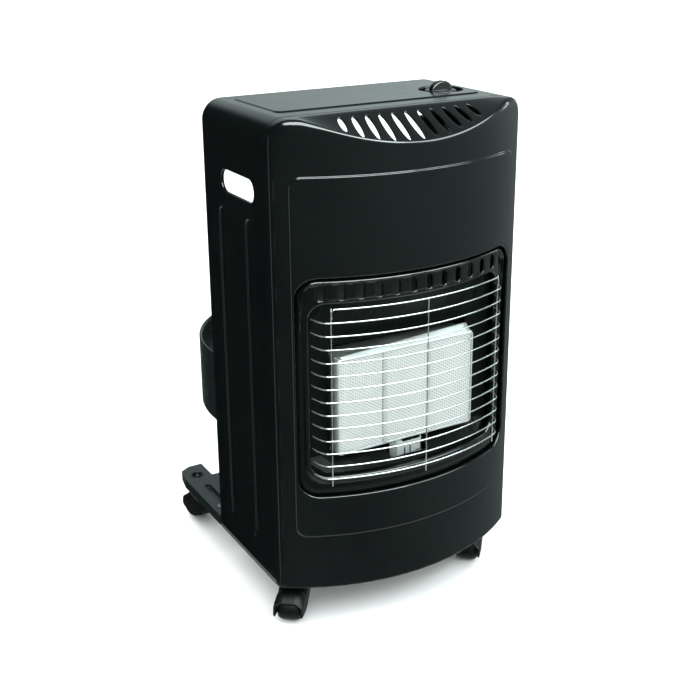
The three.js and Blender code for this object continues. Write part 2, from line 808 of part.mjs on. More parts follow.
function burnerPlenum() {
  const b = burner;
  const side = b.halfWidth - b.frameSheet - b.plenumInset;
  const low = b.bottom + b.frameSheet + b.plenumInset;
  const high = b.top - b.frameSheet - b.plenumInset;
  const wall = b.plenumWall;
  const box = block(-side, side, -b.plenumFront, -b.plenumRear, low, high);
  const hollow = block(
    -side + wall,
    side - wall,
    -b.plenumFront - overrun,
    -b.plenumRear - wall,
    low + wall,
    high - wall,
  );
  const inlet = barX(injector.radius / 2, side - overrun, side + overrun, -injectorDepth, injectorZ, 16);
  return cut(box, hollow, inlet);
}

function injectorBody() {
  const side = burner.halfWidth - burner.frameSheet - burner.plenumInset;
  const from = side + gap;
  const { radius, length, bore } = injector;
  const body = barX(radius, from, from + length, -injectorDepth, injectorZ, 16);
  return body.subtract(barX(bore, from - overrun, from + length / 2, -injectorDepth, injectorZ, 8));
}

// Cross bar under the plenum, with its ends against the seam's tongue
function burnerSupportBar() {
  const b = burnerSupport;
  const half = halfWidth - 2 * (cabinet.sheet + gap);
  const top = burner.bottom + burner.frameSheet + burner.plenumInset - gap;
  const y0 = -b.frontDepth;
  const y1 = y0 + b.depth;
  const bar = block(-half, half, y0, y1, top - b.height, top);
  return bar.subtract(block(
    -half + b.wall,
    half - b.wall,
    y0 + b.wall,
    y1 + overrun,
    top - b.height + b.wall,
    top - b.wall,
  ));
}

// Bracket of the pilot: a bright plate bent back at both ends, with a strap that runs
// under the burner frame
const pilotTop = burner.bottom - gap;

function pilotBracket() {
  const p = pilot;
  const front = -p.depth;
  const plan = polygon([
    [-p.halfWidth, front + p.wing],
    [-p.halfWidth + p.wing / 2, front],
    [p.halfWidth - p.wing / 2, front],
    [p.halfWidth, front + p.wing],
    [p.halfWidth - p.sheet, front + p.wing],
    [p.halfWidth - p.wing / 2 - p.sheet, front + p.sheet],
    [-p.halfWidth + p.wing / 2 + p.sheet, front + p.sheet],
    [-p.halfWidth + p.sheet, front + p.wing],
  ]);
  const plate = extrudeZ(plan, p.bottom, pilotTop);
  const strapX = -p.halfWidth + p.wing / 2 + p.sheet;
  const strapRear = -burner.frontDepth + burner.frameDepth;
  const strapEnd = strapX + p.strap - p.sheet;
  const strap = block(strapX, strapEnd, front + gap, strapRear, pilotTop - p.sheet, pilotTop);
  const slit = block(
    p.burnerX - p.sheet,
    p.burnerX + p.sheet,
    front - overrun,
    front + p.sheet + gap,
    p.bottom - overrun,
    pilotTop - p.wing,
  );
  return plate.add(strap).subtract(slit);
}

const postY = (footRadius) => pilot.sheet + gap + footRadius - pilot.depth;

// A small post behind the bracket: a thick foot and a thinner tip
function pilotPost(x, footRadius, tipRadius, rise) {
  const p = pilot;
  const y = postY(footRadius);
  const middle = (p.bottom + pilotTop) / 2;
  const foot = barZ(footRadius, p.bottom - p.reach, middle, x, y, 12);
  return foot.add(barZ(tipRadius, middle - gap, middle + rise, x, y, 8));
}

// Partition: a flat sheet flanged to the rear, stepped in over the base pan's edge
function rearPartition() {
  const p = partition;
  const half = halfWidth - cabinet.sheet - gap;
  const bottom = basePan.sheet + gap;
  const outer = block(-half, half, -p.depth, -p.depth + p.flange, bottom, p.top);
  const hollow = block(
    -half + p.sheet,
    half - p.sheet,
    -p.depth + p.sheet,
    -p.depth + p.flange + overrun,
    bottom - overrun,
    p.top - p.sheet,
  );
  const step = (side) => {
    const low = side > 0 ? half - basePan.sheet - gap : -half - overrun;
    const high = side > 0 ? half + overrun : -half + basePan.sheet + gap;
    return block(low, high, -p.depth - overrun, -p.depth + p.flange + overrun, 0, basePan.flange + gap);
  };
  return cut(outer, hollow, step(-1), step(1));
}

// Base pan: a floor with an upturned edge, two bottle ribs and the two hinge lugs
function basePanBody() {
  const { sheet, flange, ribWidth, ribSpacing, ribRise } = basePan;
  const edge = cabinet.sheet + gap;
  const rear = -gap;
  let outer = planSolid(edge, rear, 0, flange, false);
  let inner = planSolid(edge + sheet, rear - sheet, sheet, flange + overrun, false);
  for (const side of [-1, 1]) {
    const x = side * ribSpacing;
    const half = ribWidth / 2;
    const front = -partition.depth + overrun;
    outer = outer.add(block(x - half, x + half, front, rear - sheet, 0, ribRise));
    inner = inner.subtract(block(x - half, x + half, front, rear + overrun, 0, ribRise));
  }
  let pan = outer.subtract(inner);
  for (const side of [-1, 1]) {
    const x = side * ribSpacing;
    const half = ribWidth / 2 - sheet;
    const front = -partition.depth + overrun + sheet;
    pan = pan.subtract(block(x - half, x + half, front, rear - 2 * sheet, -overrun, ribRise - sheet));
    pan = pan.add(hingeLug(side));
  }
  return pan;
}

function hingeLug(side) {
  const high = halfWidth - rail.width - gap;
  const low = high - hinge.lug;
  const top = hinge.height + hinge.lugRadius;
  const bottom = hinge.height - hinge.lugRadius;
  const arm = block(low, high, -cabinet.sheet, hinge.behind, bottom, top);
  const eye = barX(hinge.lugRadius, low, high, hinge.behind, hinge.height, 16);
  const bore = barX(hinge.pinRadius + gap, low - overrun, high + overrun, hinge.behind, hinge.height, 16);
  const lug = arm.add(eye).subtract(bore);
  return side > 0 ? lug : lug.mirror([1, 0, 0]);
}

// Hinge pin with a head on the inner side of its lug
function hingePin(side) {
  const { behind, height, pinRadius, headRadius } = hinge;
  const from = halfWidth - rail.width - gap - hinge.lug - gap;
  const end = halfWidth - rail.width + rail.wall + hinge.head;
  const head = barX(headRadius, from - hinge.head, from, behind, height, 12);
  const shank = barX(pinRadius, from - hinge.head / 2, end, behind, height, 12);
  const pin = head.add(shank);
  return side > 0 ? pin : pin.mirror([1, 0, 0]);
}

// Outline of the right rail from above: square inside, rounded off at its outer rear corner
function railPlan(inset) {
  const outer = halfWidth - inset;
  const inner = halfWidth - rail.width + inset;
  const shape = new THREE.Shape();
  const tipStart = rail.rear - rail.tipDepth;
  const end = rail.rear - inset;
  const front = rail.front + inset;
  shape.moveTo(inner, front);
  shape.lineTo(outer, front);
  shape.lineTo(outer, tipStart);
  shape.quadraticCurveTo(outer, end, (outer + inner) / 2, end);
  shape.lineTo(inner, end);
  return shape;
}

function railBody(side) {
  const r = rail;
  const body = extrudeZ(railPlan(0), 0, r.height);
  const hollow = extrudeZ(railPlan(r.wall), -overrun, r.height - r.wall);
  const slotX = halfWidth - r.slotFromSide;
  const slot = extrudeZ(
    roundedRect(slotX - r.slotWidth / 2, slotX + r.slotWidth / 2, r.slotFront, r.slotRear, r.slotWidth / 2),
    r.height - r.wall - overrun,
    r.height + overrun,
  );
  const hole = barZ(r.holeRadius, r.height - r.wall - overrun, r.height + overrun, slotX, r.holeBehind, 20);
  const screwHole = barZ(
    railScrew.shankRadius + gap,
    r.height - r.wall - overrun,
    r.height + overrun,
    halfWidth - r.screwFromSide,
    r.screwBehind,
    12,
  );
  const pinHole = barX(
    hinge.pinRadius + gap,
    halfWidth - r.width - overrun,
    halfWidth - r.width + overrun,
    hinge.behind,
    hinge.height,
    16,
  );
  const solid = cut(body, hollow, slot, hole, screwHole, pinHole);
  return side > 0 ? solid : solid.mirror([1, 0, 0]);
}

function railScrewBody() {
  const s = railScrew;
  const base = rail.height + gap;
  return turned([
    [0, base - s.shank],
    [s.shankRadius, base - s.shank],
    [s.shankRadius, base],
    [s.headRadius, base],
    [s.headRadius * 0.8, base + s.head * 0.7],
    [s.headRadius * 0.4, base + s.head],
    [0, base + s.head],
  ], 12);
}

// Cross tray between the rails, level with their tops and lipped down at both edges
function trayBody() {
  const half = halfWidth - rail.width - gap;
  const top = rail.height;
  const outer = block(-half, half, tray.front, tray.rear, top - tray.lip, top);
  const hollow = block(
    -half - overrun,
    half + overrun,
    tray.front + tray.sheet,
    tray.rear - tray.sheet,
    top - tray.lip - overrun,
    top - tray.sheet,
  );
  return outer.subtract(hollow);
}

// The hoop's plan: straight arms, then a half circle, as a band of one thickness
function hoopBand(thickness, frontY, low, high) {
  const outline = (radius) => {
    const shape = new THREE.Shape();
    shape.moveTo(-radius, frontY);
    shape.lineTo(radius, frontY);
    shape.lineTo(radius, hoop.centreBehind);
    shape.absarc(0, hoop.centreBehind, radius, 0, Math.PI, false);
    return shape;
  };
  const full = extrudeZ(outline(hoop.outerRadius), low, high, hoop.segments);
  const core = extrudeZ(outline(hoop.outerRadius - thickness), low - overrun, high + overrun, hoop.segments);
  const behind = block(
    -hoop.outerRadius - overrun,
    hoop.outerRadius + overrun,
    frontY + gap,
    hoop.centreBehind + hoop.outerRadius + overrun,
    low - overrun,
    high + overrun,
  );
  return full.subtract(core).intersect(behind);
}

function hoopBody() {
  const h = hoop;
  let body = unite(
    hoopBand(h.sheet, gap, h.bottom, h.top),
    hoopBand(h.bead, gap, h.bottom, h.bottom + h.bead),
    hoopBand(h.bead, gap, h.top - h.bead, h.top),
  );
  for (const side of [-1, 1]) {
    const low = side > 0 ? h.outerRadius - h.sheet : -h.outerRadius;
    const high = low + h.sheet;
    const [armLow, armHigh] = [h.pivotHeight - h.tabRadius, h.pivotHeight + h.tabRadius];
    const arm = block(low, high, -h.pivotInFront, h.centreBehind, armLow, armHigh);
    const eye = barX(h.tabRadius, low, high, -h.pivotInFront, h.pivotHeight, 20);
    const boreRadius = hoopStud.shankRadius + gap;
    const bore = barX(boreRadius, low - overrun, high + overrun, -h.pivotInFront, h.pivotHeight, 12);
    body = body.add(arm).add(eye).subtract(bore);
  }
  return body;
}

// Stud on the inner face of a side: a collar, a shank through the hoop and a head
function hoopStudBody(side) {
  const s = hoopStud;
  const wall = halfWidth - cabinet.sheet - gap;
  const collarEnd = hoop.outerRadius + gap;
  const headStart = hoop.outerRadius - hoop.sheet - gap;
  const [y, z] = [-hoop.pivotInFront, hoop.pivotHeight];
  const stud = unite(
    barX(s.collarRadius, collarEnd, wall, y, z, 12),
    barX(s.shankRadius, headStart - s.head / 2, collarEnd + s.head / 2, y, z, 12),
    barX(s.headRadius, headStart - s.head, headStart, y, z, 12),
  );
  return side > 0 ? stud : stud.mirror([1, 0, 0]);
}

// Gas train under the knob well
function valveBracketPlate() {
  const b = valveBracket;
  const x = knobWell.x;
  const top = wellUnderside - gap;
  const plate = block(
    x - b.width / 2 + b.shift,
    x + b.width / 2 + b.shift,
    knobY - b.depth / 2,
    knobY + b.depth / 2,
    top - b.thickness,
    top,
  );
  return plate.subtract(barZ(valve.neckRadius + gap, top - overrun, top + overrun, x, knobY, 20));
}

function gasValve() {
  const v = valve;
  const x = knobWell.x;
  const bracketTop = wellUnderside - gap;
  const body = block(
    x - v.width / 2,
    x + v.width / 2,
    knobY - v.depth / 2,
    knobY + v.depth / 2,
    valveBottom,
    valveTop,
  );
  const collarTop = bracketTop - valveBracket.thickness - gap;
  const collar = barZ(v.neckRadius + gap * 4, valveTop - overrun, collarTop, x, knobY, 16);
  const neck = barZ(v.neckRadius, valveTop - overrun, bracketTop, x, knobY, 20);
  const stemBore = barZ(v.stemRadius + gap, valveTop - knob.socketDepth, bracketTop + overrun, x, knobY, 16);
  return unite(body, collar, neck).subtract(stemBore);
}

function valveStem() {
  const top = wellFloor + knob.lift + knob.socketDepth - knob.press - 2 * gap;
  return barZ(valve.stemRadius, valveTop - knob.socketDepth + gap, top, knobWell.x, knobY, 16);
}

// Knob: a chamfered skirt and a half-round grip across it, bored for the stem from below
function controlKnob() {
  const k = knob;
  const base = wellFloor + k.lift;
  const skirt = turned([
    [0, base],
    [k.radius, base],
    [k.radius, base + k.skirt - k.chamfer],
    [k.radius - k.chamfer, base + k.skirt],
    [0, base + k.skirt],
  ], 32);
  const shape = new THREE.Shape();
  shape.moveTo(-k.gripLength / 2, base + k.skirt / 2);
  shape.lineTo(k.gripLength / 2, base + k.skirt / 2);
  shape.lineTo(k.gripLength / 2, base + k.skirt);
  shape.absellipse(0, base + k.skirt, k.gripLength / 2, k.gripRise, 0, Math.PI, false);
  const grip = extrudeY(shape, -k.gripWidth / 2, k.gripWidth / 2, 14).rotate([0, 0, k.gripTurn]);
  const bore = barZ(valve.stemRadius + gap, base - overrun, base + k.socketDepth, 0, 0, 16);
  return place(skirt.add(grip).subtract(bore), knobWell.x, knobY, 0);
}

function igniterBody() {
  const x = knobWell.x + igniter.fromValve;
  const top = wellUnderside - 2 * gap - valveBracket.thickness;
  return barZ(igniter.radius, top - igniter.length, top, x, knobY, 16);
}

// Hose nozzle on the rear of the valve, barbed for the hose
function hoseNozzle() {
  const n = nozzle;
  const start = knobY + valve.depth / 2 + gap;
  const outline = [[0, 0], [n.radius, 0]];
  const pitch = n.length / (n.barbs + 1);
  for (let i = 1; i <= n.barbs; i += 1) {
    outline.push([n.radius - n.barb, i * pitch], [n.radius, i * pitch]);
  }
  outline.push([n.radius - 2 * n.barb, n.length], [0, n.length]);
  const body = turned(outline, 16).rotate([-90, 0, 0]);
  return place(body, knobWell.x, start, n.z).subtract(
    barY(n.bore, start + n.length / 2, start + n.length + overrun, knobWell.x, n.z, 10),
  );
}

// A pipe of one radius along a smooth route
function pipeAlong(route, radius) {
  const curve = new THREE.CatmullRomCurve3(route.map(([x, y, z]) => new THREE.Vector3(x, y, z)));
  const section = new THREE.Shape();
  section.absarc(0, 0, radius, 0, 2 * Math.PI, false);
  const { steps, sides } = pipe;
  const settings = { steps, extrudePath: curve, curveSegments: sides / 2, bevelEnabled: false };
  return toSolid(new THREE.ExtrudeGeometry(section, settings));
}

// The pipes leave the valve, pass over the partition and run down the right side
const pipeLane = {
  main: halfWidth - fromSide.mainPipe,
  pilot: halfWidth - fromSide.pilotPipe,
  probe: halfWidth - fromSide.probeLead,
};
const pipeDepth = cabinet.sideDepth - behindCorner.pipes;
const valveFront = knobY - valve.depth / 2;
const partitionPass = partition.top + 2 * cabinet.topRoll;
const underBurner = burner.bottom - burnerSupport.height - 2 * cabinet.topRoll / 3;

function mainPipe() {
  const plenumSide = burner.halfWidth - burner.frameSheet - burner.plenumInset;
  const end = plenumSide + injector.length + 2 * gap;
  return pipeAlong([
    [knobWell.x, valveFront - gap, nozzle.z],
    [knobWell.x, valveFront - 2 * pipe.mainRadius, nozzle.z],
    [pipeLane.main, -pipeDepth, partitionPass],
    [pipeLane.main, -pipeDepth, (partitionPass + injectorZ) / 2],
    [pipeLane.main, -injectorDepth + 3 * pipe.mainRadius, injectorZ + 6 * pipe.mainRadius],
    [end + 2 * pipe.mainRadius, -injectorDepth, injectorZ],
    [end, -injectorDepth, injectorZ],
  ], pipe.mainRadius);
}

// A thin line from the valve group down its lane and under the burner to the pilot
function pilotLine(startX, startZ, lane, x, footRadius, radius) {
  const endZ = pilot.bottom - pilot.reach - gap;
  const y = postY(footRadius);
  const low = endZ - 6 * radius;
  return pipeAlong([
    [startX, valveFront - gap, startZ],
    [startX, valveFront - 4 * radius, startZ],
    [lane, -pipeDepth, partitionPass],
    [lane, -pipeDepth, underBurner + 2 * cabinet.topRoll],
    [lane - 4 * radius, -pipeDepth, low],
    [x + 8 * radius, y, low],
    [x, y, endZ - 3 * radius],
    [x, y, endZ],
  ], radius);
}

// Caster pieces, in a frame with the king pin on Z, the wheel trailing towards +X
const hoodTop = -(gap + caster.plateThickness + 2 * gap);
const axleZ = caster.wheelRadius - caster.height;

function casterMount() {
  const c = caster;
  const half = c.plate / 2;
  const top = -gap;
  const plate = extrudeZ(roundedRect(-half, half, -half, half, half / 4), top - c.plateThickness, top, 2);
  return plate.add(barZ(c.kingPinRadius, top - c.plateThickness - c.kingPinLength, top - gap, 0, 0, 16));
}

// Hood seen from its side: the boss, the dome over the wheel and the raised rear lip
function hoodSide() {
  const c = caster;
  const shape = new THREE.Shape();
  const domeFrom = THREE.MathUtils.degToRad(118);
  const domeTo = THREE.MathUtils.degToRad(-10);
  shape.moveTo(-c.bossReach, hoodTop);
  shape.lineTo(c.bossReach, hoodTop);
  shape.absarc(c.trail, axleZ, c.hoodRadius, domeFrom, domeTo, true);
  shape.lineTo(c.trail, axleZ - c.tipDrop);
  shape.lineTo(c.trail - c.wheelRadius, axleZ - c.tipDrop);
  shape.lineTo(-c.bossReach, axleZ + c.tipDrop);
  return shape;
}

function casterHood() {
  const c = caster;
  const half = c.hoodWidth / 2;
  const cheek = half - (c.wheelWidth / 2 + c.wheelGap);
  const innerHalf = half - cheek;
  const front = new THREE.Shape();
  front.moveTo(-half, -c.height);
  front.lineTo(half, -c.height);
  front.lineTo(half, hoodTop - c.hoodCrown);
  front.absarc(half - c.hoodCrown, hoodTop - c.hoodCrown, c.hoodCrown, 0, Math.PI / 2, false);
  front.absarc(c.hoodCrown - half, hoodTop - c.hoodCrown, c.hoodCrown, Math.PI / 2, Math.PI, false);
  const reach = c.trail + c.hoodRadius + overrun;
  const side = extrudeY(hoodSide(), -half, half, 10);
  const outline = extrudeX(front, -c.bossReach - overrun, reach);
  const cavity = barY(c.wheelRadius + c.wheelGap, -innerHalf, innerHalf, c.trail, axleZ, 24);
  const mouth = block(c.trail, reach, -innerHalf, innerHalf, -c.height, axleZ + c.mouthLift);
  const below = block(
    c.trail - c.wheelRadius - c.wheelGap,
    reach,
    -innerHalf,
    innerHalf,
    -c.height,
    axleZ,
  );
  const boreEnd = -c.kingPinLength - c.plateThickness - 3 * gap;
  const pinBore = barZ(c.kingPinRadius + gap, boreEnd, overrun, 0, 0, 16);
  const axleBore = barY(c.axleRadius + gap, -half - overrun, half + overrun, c.trail, axleZ, 12);
  return cut(side.intersect(outline), cavity, mouth, below, pinBore, axleBore);
}

// Wheel: a wide roller with rounded shoulders, one flat of its rim on the floor
function casterWheel() {
  const c = caster;
  const sides = 20;
  const rim = c.wheelRadius / Math.cos(Math.PI / sides);
  const half = c.wheelWidth / 2;
  const bore = c.axleRadius + gap;
  const outline = [
    [bore, -half],
    [rim - c.shoulder, -half],
    [rim - c.shoulder / 3, -half + c.shoulder],
    [rim, -c.treadWidth / 2],
    [rim, c.treadWidth / 2],
    [rim - c.shoulder / 3, half - c.shoulder],
    [rim - c.shoulder, half],
    [bore, half],
    [bore, -half],
  ];
  const wheel = turned(outline, sides).rotate([0, 0, 180 / sides]).rotate([90, 0, 0]);
  return place(wheel, c.trail, 0, axleZ);
}

function casterAxle() {
  const c = caster;
  const half = c.hoodWidth / 2 - gap;
  return barY(c.axleRadius, -half, half, c.trail, axleZ, 12);
}

// Assembly: the cabinet's own frame has the middle of its rear edge, at the bottom, as origin
const heater = new THREE.Group();
const cabinetFrame = new THREE.Group();
heater.add(cabinetFrame);

function addPiece(name, solid, material, parent = cabinetFrame) {
  const mesh = new THREE.Mesh(toGeometry(solid), material.clone());
  mesh.name = name;
  parent.add(mesh);
}

function addCabinet() {
  addPiece('cabinet_shell', cabinetShell(), satinBlack);
  addPiece('front_panel', frontPanel(), satinBlack);
  addPiece('burner_surround', burnerSurround(), glossBlack);
  addPiece('firebox', fireboxBody(), glossBlack);
  addPiece('guard_grille', guardGrille(), chromeWire);
  addPiece('rear_partition', rearPartition(), zincSteel);
  addPiece('base_pan', basePanBody(), railPaint);
}

function addBurner() {
  addPiece('burner_frame', burnerFrame(), paleSteel);
  addPiece('burner_plenum', burnerPlenum(), zincSteel);
  addPiece('burner_support', burnerSupportBar(), zincSteel);
  for (let i = 0; i < burner.plaques; i += 1) addPiece(`ceramic_plaque_${i + 1}`, plaqueBox(i), plaqueWhite);
  addPiece('gas_injector', injectorBody(), brass);
  addPiece('pilot_bracket', pilotBracket(), paleSteel);
  const { burnerX, burnerRadius, rodRadius, tipRadius, reach } = pilot;
  addPiece('pilot_burner', pilotPost(burnerX, burnerRadius, rodRadius, reach / 2), brass);
  const post = (x) => pilotPost(x, rodRadius, tipRadius, reach - rodRadius);
  addPiece('spark_electrode', post(pilot.electrodeX), insulatorWhite);
  addPiece('thermocouple', post(pilot.probeX), copper);
}

function addGasTrain() {
  const x = knobWell.x;
  addPiece('valve_bracket', valveBracketPlate(), zincSteel);
  addPiece('gas_valve', gasValve(), brass);
  addPiece('piezo_igniter', igniterBody(), blackPlastic);
  addPiece('hose_nozzle', hoseNozzle(), brass);
  addPiece('main_gas_pipe', mainPipe(), paleSteel);
  const startX = x + valve.width / 3;
  const [low, high] = [valveBottom + overrun, valveTop - overrun];
  const { pilotRadius, leadRadius } = pipe;
  const { burnerX, burnerRadius, probeX, rodRadius } = pilot;
  const pilotRun = pilotLine(startX, low, pipeLane.pilot, burnerX, burnerRadius, pilotRadius);
  const probeRun = pilotLine(startX, high, pipeLane.probe, probeX, rodRadius, leadRadius);
  addPiece('pilot_pipe', pilotRun, copper);
  addPiece('thermocouple_lead', probeRun, copper);
  addPiece('valve_stem', valveStem(), zincSteel);
  addPiece('control_knob', controlKnob(), blackPlastic);
}

function addRearBase() {
  for (const [name, side] of [['left', -1], ['right', 1]]) {
    addPiece(`base_rail_${name}`, railBody(side), railPaint);
    addPiece(`hinge_pin_${name}`, hingePin(side), zincSteel);
    const screw = place(railScrewBody(), side * (halfWidth - rail.screwFromSide), rail.screwBehind, 0);
    addPiece(`rail_screw_${name}`, screw, zincSteel);
    addPiece(`hoop_stud_${name}`, hoopStudBody(side), zincSteel);
  }
  addPiece('cylinder_tray', trayBody(), railPaint);
  addPiece('cylinder_hoop', hoopBody(), railPaint);
}

function addCaster(name, x, y) {
  const swivel = new THREE.Group();
  swivel.position.set(x, y, 0);
  cabinetFrame.add(swivel);
  addPiece(`${name}_caster_mount`, casterMount(), zincSteel, swivel);
  const fork = new THREE.Group();
  fork.rotation.z = THREE.MathUtils.degToRad(casterTurns[name]);
  swivel.add(fork);
  addPiece(`${name}_caster_hood`, casterHood(), blackPlastic, fork);
  addPiece(`${name}_caster_wheel`, casterWheel(), blackPlastic, fork);
  addPiece(`${name}_caster_axle`, casterAxle(), zincSteel, fork);
}

addCabinet();
addBurner();
addGasTrain();
addRearBase();
addCaster('front_left', -caster.frontX, -caster.frontDepth);
addCaster('front_right', caster.frontX, -caster.frontDepth);
addCaster('rear_left', -caster.rearX, caster.rearBehind);
addCaster('rear_right', caster.rearX, caster.rearBehind);

// Stand the heater on the floor with the middle of its bounding box over the origin
const bounds = new THREE.Box3().setFromObject(heater, true);
const middle = bounds.getCenter(new THREE.Vector3());
cabinetFrame.position.set(-middle.x, -middle.y, -bounds.min.z);

export default heater;
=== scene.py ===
import logging
import math
from dataclasses import dataclass
from enum import Enum
from typing import Callable, Optional, Sequence

import bmesh
import bpy
import numpy as np
from mathutils import Matrix, Vector
from mathutils.geometry import delaunay_2d_cdt


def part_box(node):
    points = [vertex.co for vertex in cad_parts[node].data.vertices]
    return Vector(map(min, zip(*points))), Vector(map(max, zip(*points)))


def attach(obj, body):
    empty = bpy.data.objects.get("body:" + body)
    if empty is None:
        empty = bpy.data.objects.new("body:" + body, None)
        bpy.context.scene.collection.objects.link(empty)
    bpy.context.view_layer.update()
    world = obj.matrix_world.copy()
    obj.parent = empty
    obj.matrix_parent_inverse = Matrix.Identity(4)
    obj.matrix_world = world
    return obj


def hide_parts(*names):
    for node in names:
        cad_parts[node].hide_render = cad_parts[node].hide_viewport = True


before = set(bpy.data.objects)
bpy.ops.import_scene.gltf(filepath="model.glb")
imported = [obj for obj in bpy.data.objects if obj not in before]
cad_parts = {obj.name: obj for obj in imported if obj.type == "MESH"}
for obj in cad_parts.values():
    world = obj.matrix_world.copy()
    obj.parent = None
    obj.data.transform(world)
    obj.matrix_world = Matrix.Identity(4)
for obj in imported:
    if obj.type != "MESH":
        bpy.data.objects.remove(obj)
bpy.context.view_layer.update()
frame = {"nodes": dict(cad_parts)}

LOG = logging.getLogger("gas_heater")
Colour = tuple[float, float, float]
Surface = Callable[[np.ndarray], np.ndarray]
SLACK = 0.01  # how much a round end's radius falls short of half its width, in millimetres
SEAM_LINES = (0.8, 2.2)  # how far from a sheet's edge two lines of triangles run, in millimetres
WELD = 1e-5  # points closer than this, in metres, become one
TINY = 1e-7  # edges shorter than this, in metres, are dropped
END_SHARE = 0.3  # how far a bar's softened end reaches, as a share of its radius
END_SCALE = 0.7  # how thin it ends, as a share of its thickness


# ---------------------------------------------------------------- shared helpers


def cabinet_origin() -> np.ndarray:
    """Give the middle of the cabinet's rear edge, at its bottom, in millimetres of the row frame."""
    low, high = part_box("cabinet_shell")
    return np.array([(low[0] + high[0]) / 2, high[1], low[2]]) * 1000.0


ORIGIN = cabinet_origin()


def to_metres(points: np.ndarray) -> np.ndarray:
    """Turn millimetres of the cabinet's own frame into metres of the row frame."""
    return (np.asarray(points, dtype=float) + ORIGIN) / 1000.0


def smooth_step(values: np.ndarray, low: float, high: float) -> np.ndarray:
    """Rise smoothly from 0 at low to 1 at high, and stay level beyond them."""
    ramp = np.clip((np.asarray(values, dtype=float) - low) / (high - low), 0.0, 1.0)
    return ramp * ramp * (3.0 - 2.0 * ramp)


def rounded_outline(
    x0: float, x1: float, z0: float, z1: float, radius: float, pitch: float = 6.0, arc: int = 8
) -> np.ndarray:
    """Draw a rounded rectangle, counter-clockwise.

    Args:
        x0, x1, z0, z1: its sides.
        radius: the radius of its corners.
        pitch: the longest step along a straight side.
        arc: the number of steps round one corner.

    Returns:
        The points, one row each.
    """
    corners = [(x1 - radius, z0 + radius, -90), (x1 - radius, z1 - radius, 0),
               (x0 + radius, z1 - radius, 90), (x0 + radius, z0 + radius, 180)]
    points: list[tuple[float, float]] = []

    def go_straight(target: tuple[float, float]) -> None:
        """Step from the last point up to a target, without reaching it.

        Args:
            target: the point that the steps run towards.
        """
        last = points[-1]
        steps = max(1, int(math.hypot(target[0] - last[0], target[1] - last[1]) / pitch))
        for k in range(1, steps):
            points.append((last[0] + (target[0] - last[0]) * k / steps,
                           last[1] + (target[1] - last[1]) * k / steps))

    for cx, cz, start in corners:
        turns = [math.radians(start + 90.0 * k / arc) for k in range(arc + 1)]
        bend = [(cx + radius * math.cos(turn), cz + radius * math.sin(turn)) for turn in turns]
        if points:
            go_straight(bend[0])
        points += bend
    go_straight(points[0])
    keep = [p for k, p in enumerate(points) if math.dist(p, points[k - 1]) > 1e-3]
    return np.array(keep)


def full_turn(count: int) -> np.ndarray:
    """Give evenly spaced angles round a full turn."""
    return np.linspace(0, 2 * math.pi, count, endpoint=False)


def circle(x: float, y: float, radius: float, angles: np.ndarray) -> np.ndarray:
    """Give the points of a circle at some angles."""
    return np.stack([x + radius * np.cos(angles), y + radius * np.sin(angles)], axis=1)


def at_depth(flat: np.ndarray, depth: np.ndarray | float) -> np.ndarray:
    """Stand flat (x, z) points up at a depth."""
    return np.column_stack([flat[:, 0], np.broadcast_to(depth, len(flat)), flat[:, 1]])


def at_level(flat: np.ndarray, level: np.ndarray | float) -> np.ndarray:
    """Lay flat (x, y) points at a level."""
    return np.column_stack([flat, np.broadcast_to(level, len(flat))])


def grown(outline: np.ndarray, distance: float) -> np.ndarray:
    """Push every point of a counter-clockwise outline outwards.

    Args:
        outline: the closed outline.
        distance: how far its points move, negative for inwards.

    Returns:
        The moved points, in the same order.
    """
    along = np.roll(outline, -1, axis=0) - np.roll(outline, 1, axis=0)
    along /= np.linalg.norm(along, axis=1)[:, None]
    return outline + distance * np.stack([along[:, 1], -along[:, 0]], axis=1)


def rounded_distance(
    points: np.ndarray, x0: float, x1: float, z0: float, z1: float, radius: float
) -> np.ndarray:
    """Measure each point's distance outside a rounded rectangle, negative inside it.

    Args:
        points: the flat points.
        x0, x1, z0, z1: the rectangle's sides.
        radius: the radius of its corners.

    Returns:
        One distance for each point.
    """
    cx, cz = (x0 + x1) / 2, (z0 + z1) / 2
    qx = np.abs(points[:, 0] - cx) - (x1 - x0) / 2 + radius
    qz = np.abs(points[:, 1] - cz) - (z1 - z0) / 2 + radius
    outside = np.hypot(np.maximum(qx, 0), np.maximum(qz, 0))
    return outside + np.minimum(np.maximum(qx, qz), 0) - radius


def inside(points: np.ndarray, outline: np.ndarray) -> np.ndarray:
    """Tell which points lie inside a closed outline.

    Args:
        points: the flat points.
        outline: the outline's points, in order.

    Returns:
        True or false for each point.
    """
    x, z = points[:, 0], points[:, 1]
    within = np.zeros(len(points), dtype=bool)
    for (x0, z0), (x1, z1) in zip(outline, np.roll(outline, -1, axis=0)):
        if z0 == z1:
            continue
        crosses = (z0 > z) != (z1 > z)
        within ^= crosses & (x < (x1 - x0) * (z - z0) / (z1 - z0) + x0)
    return within


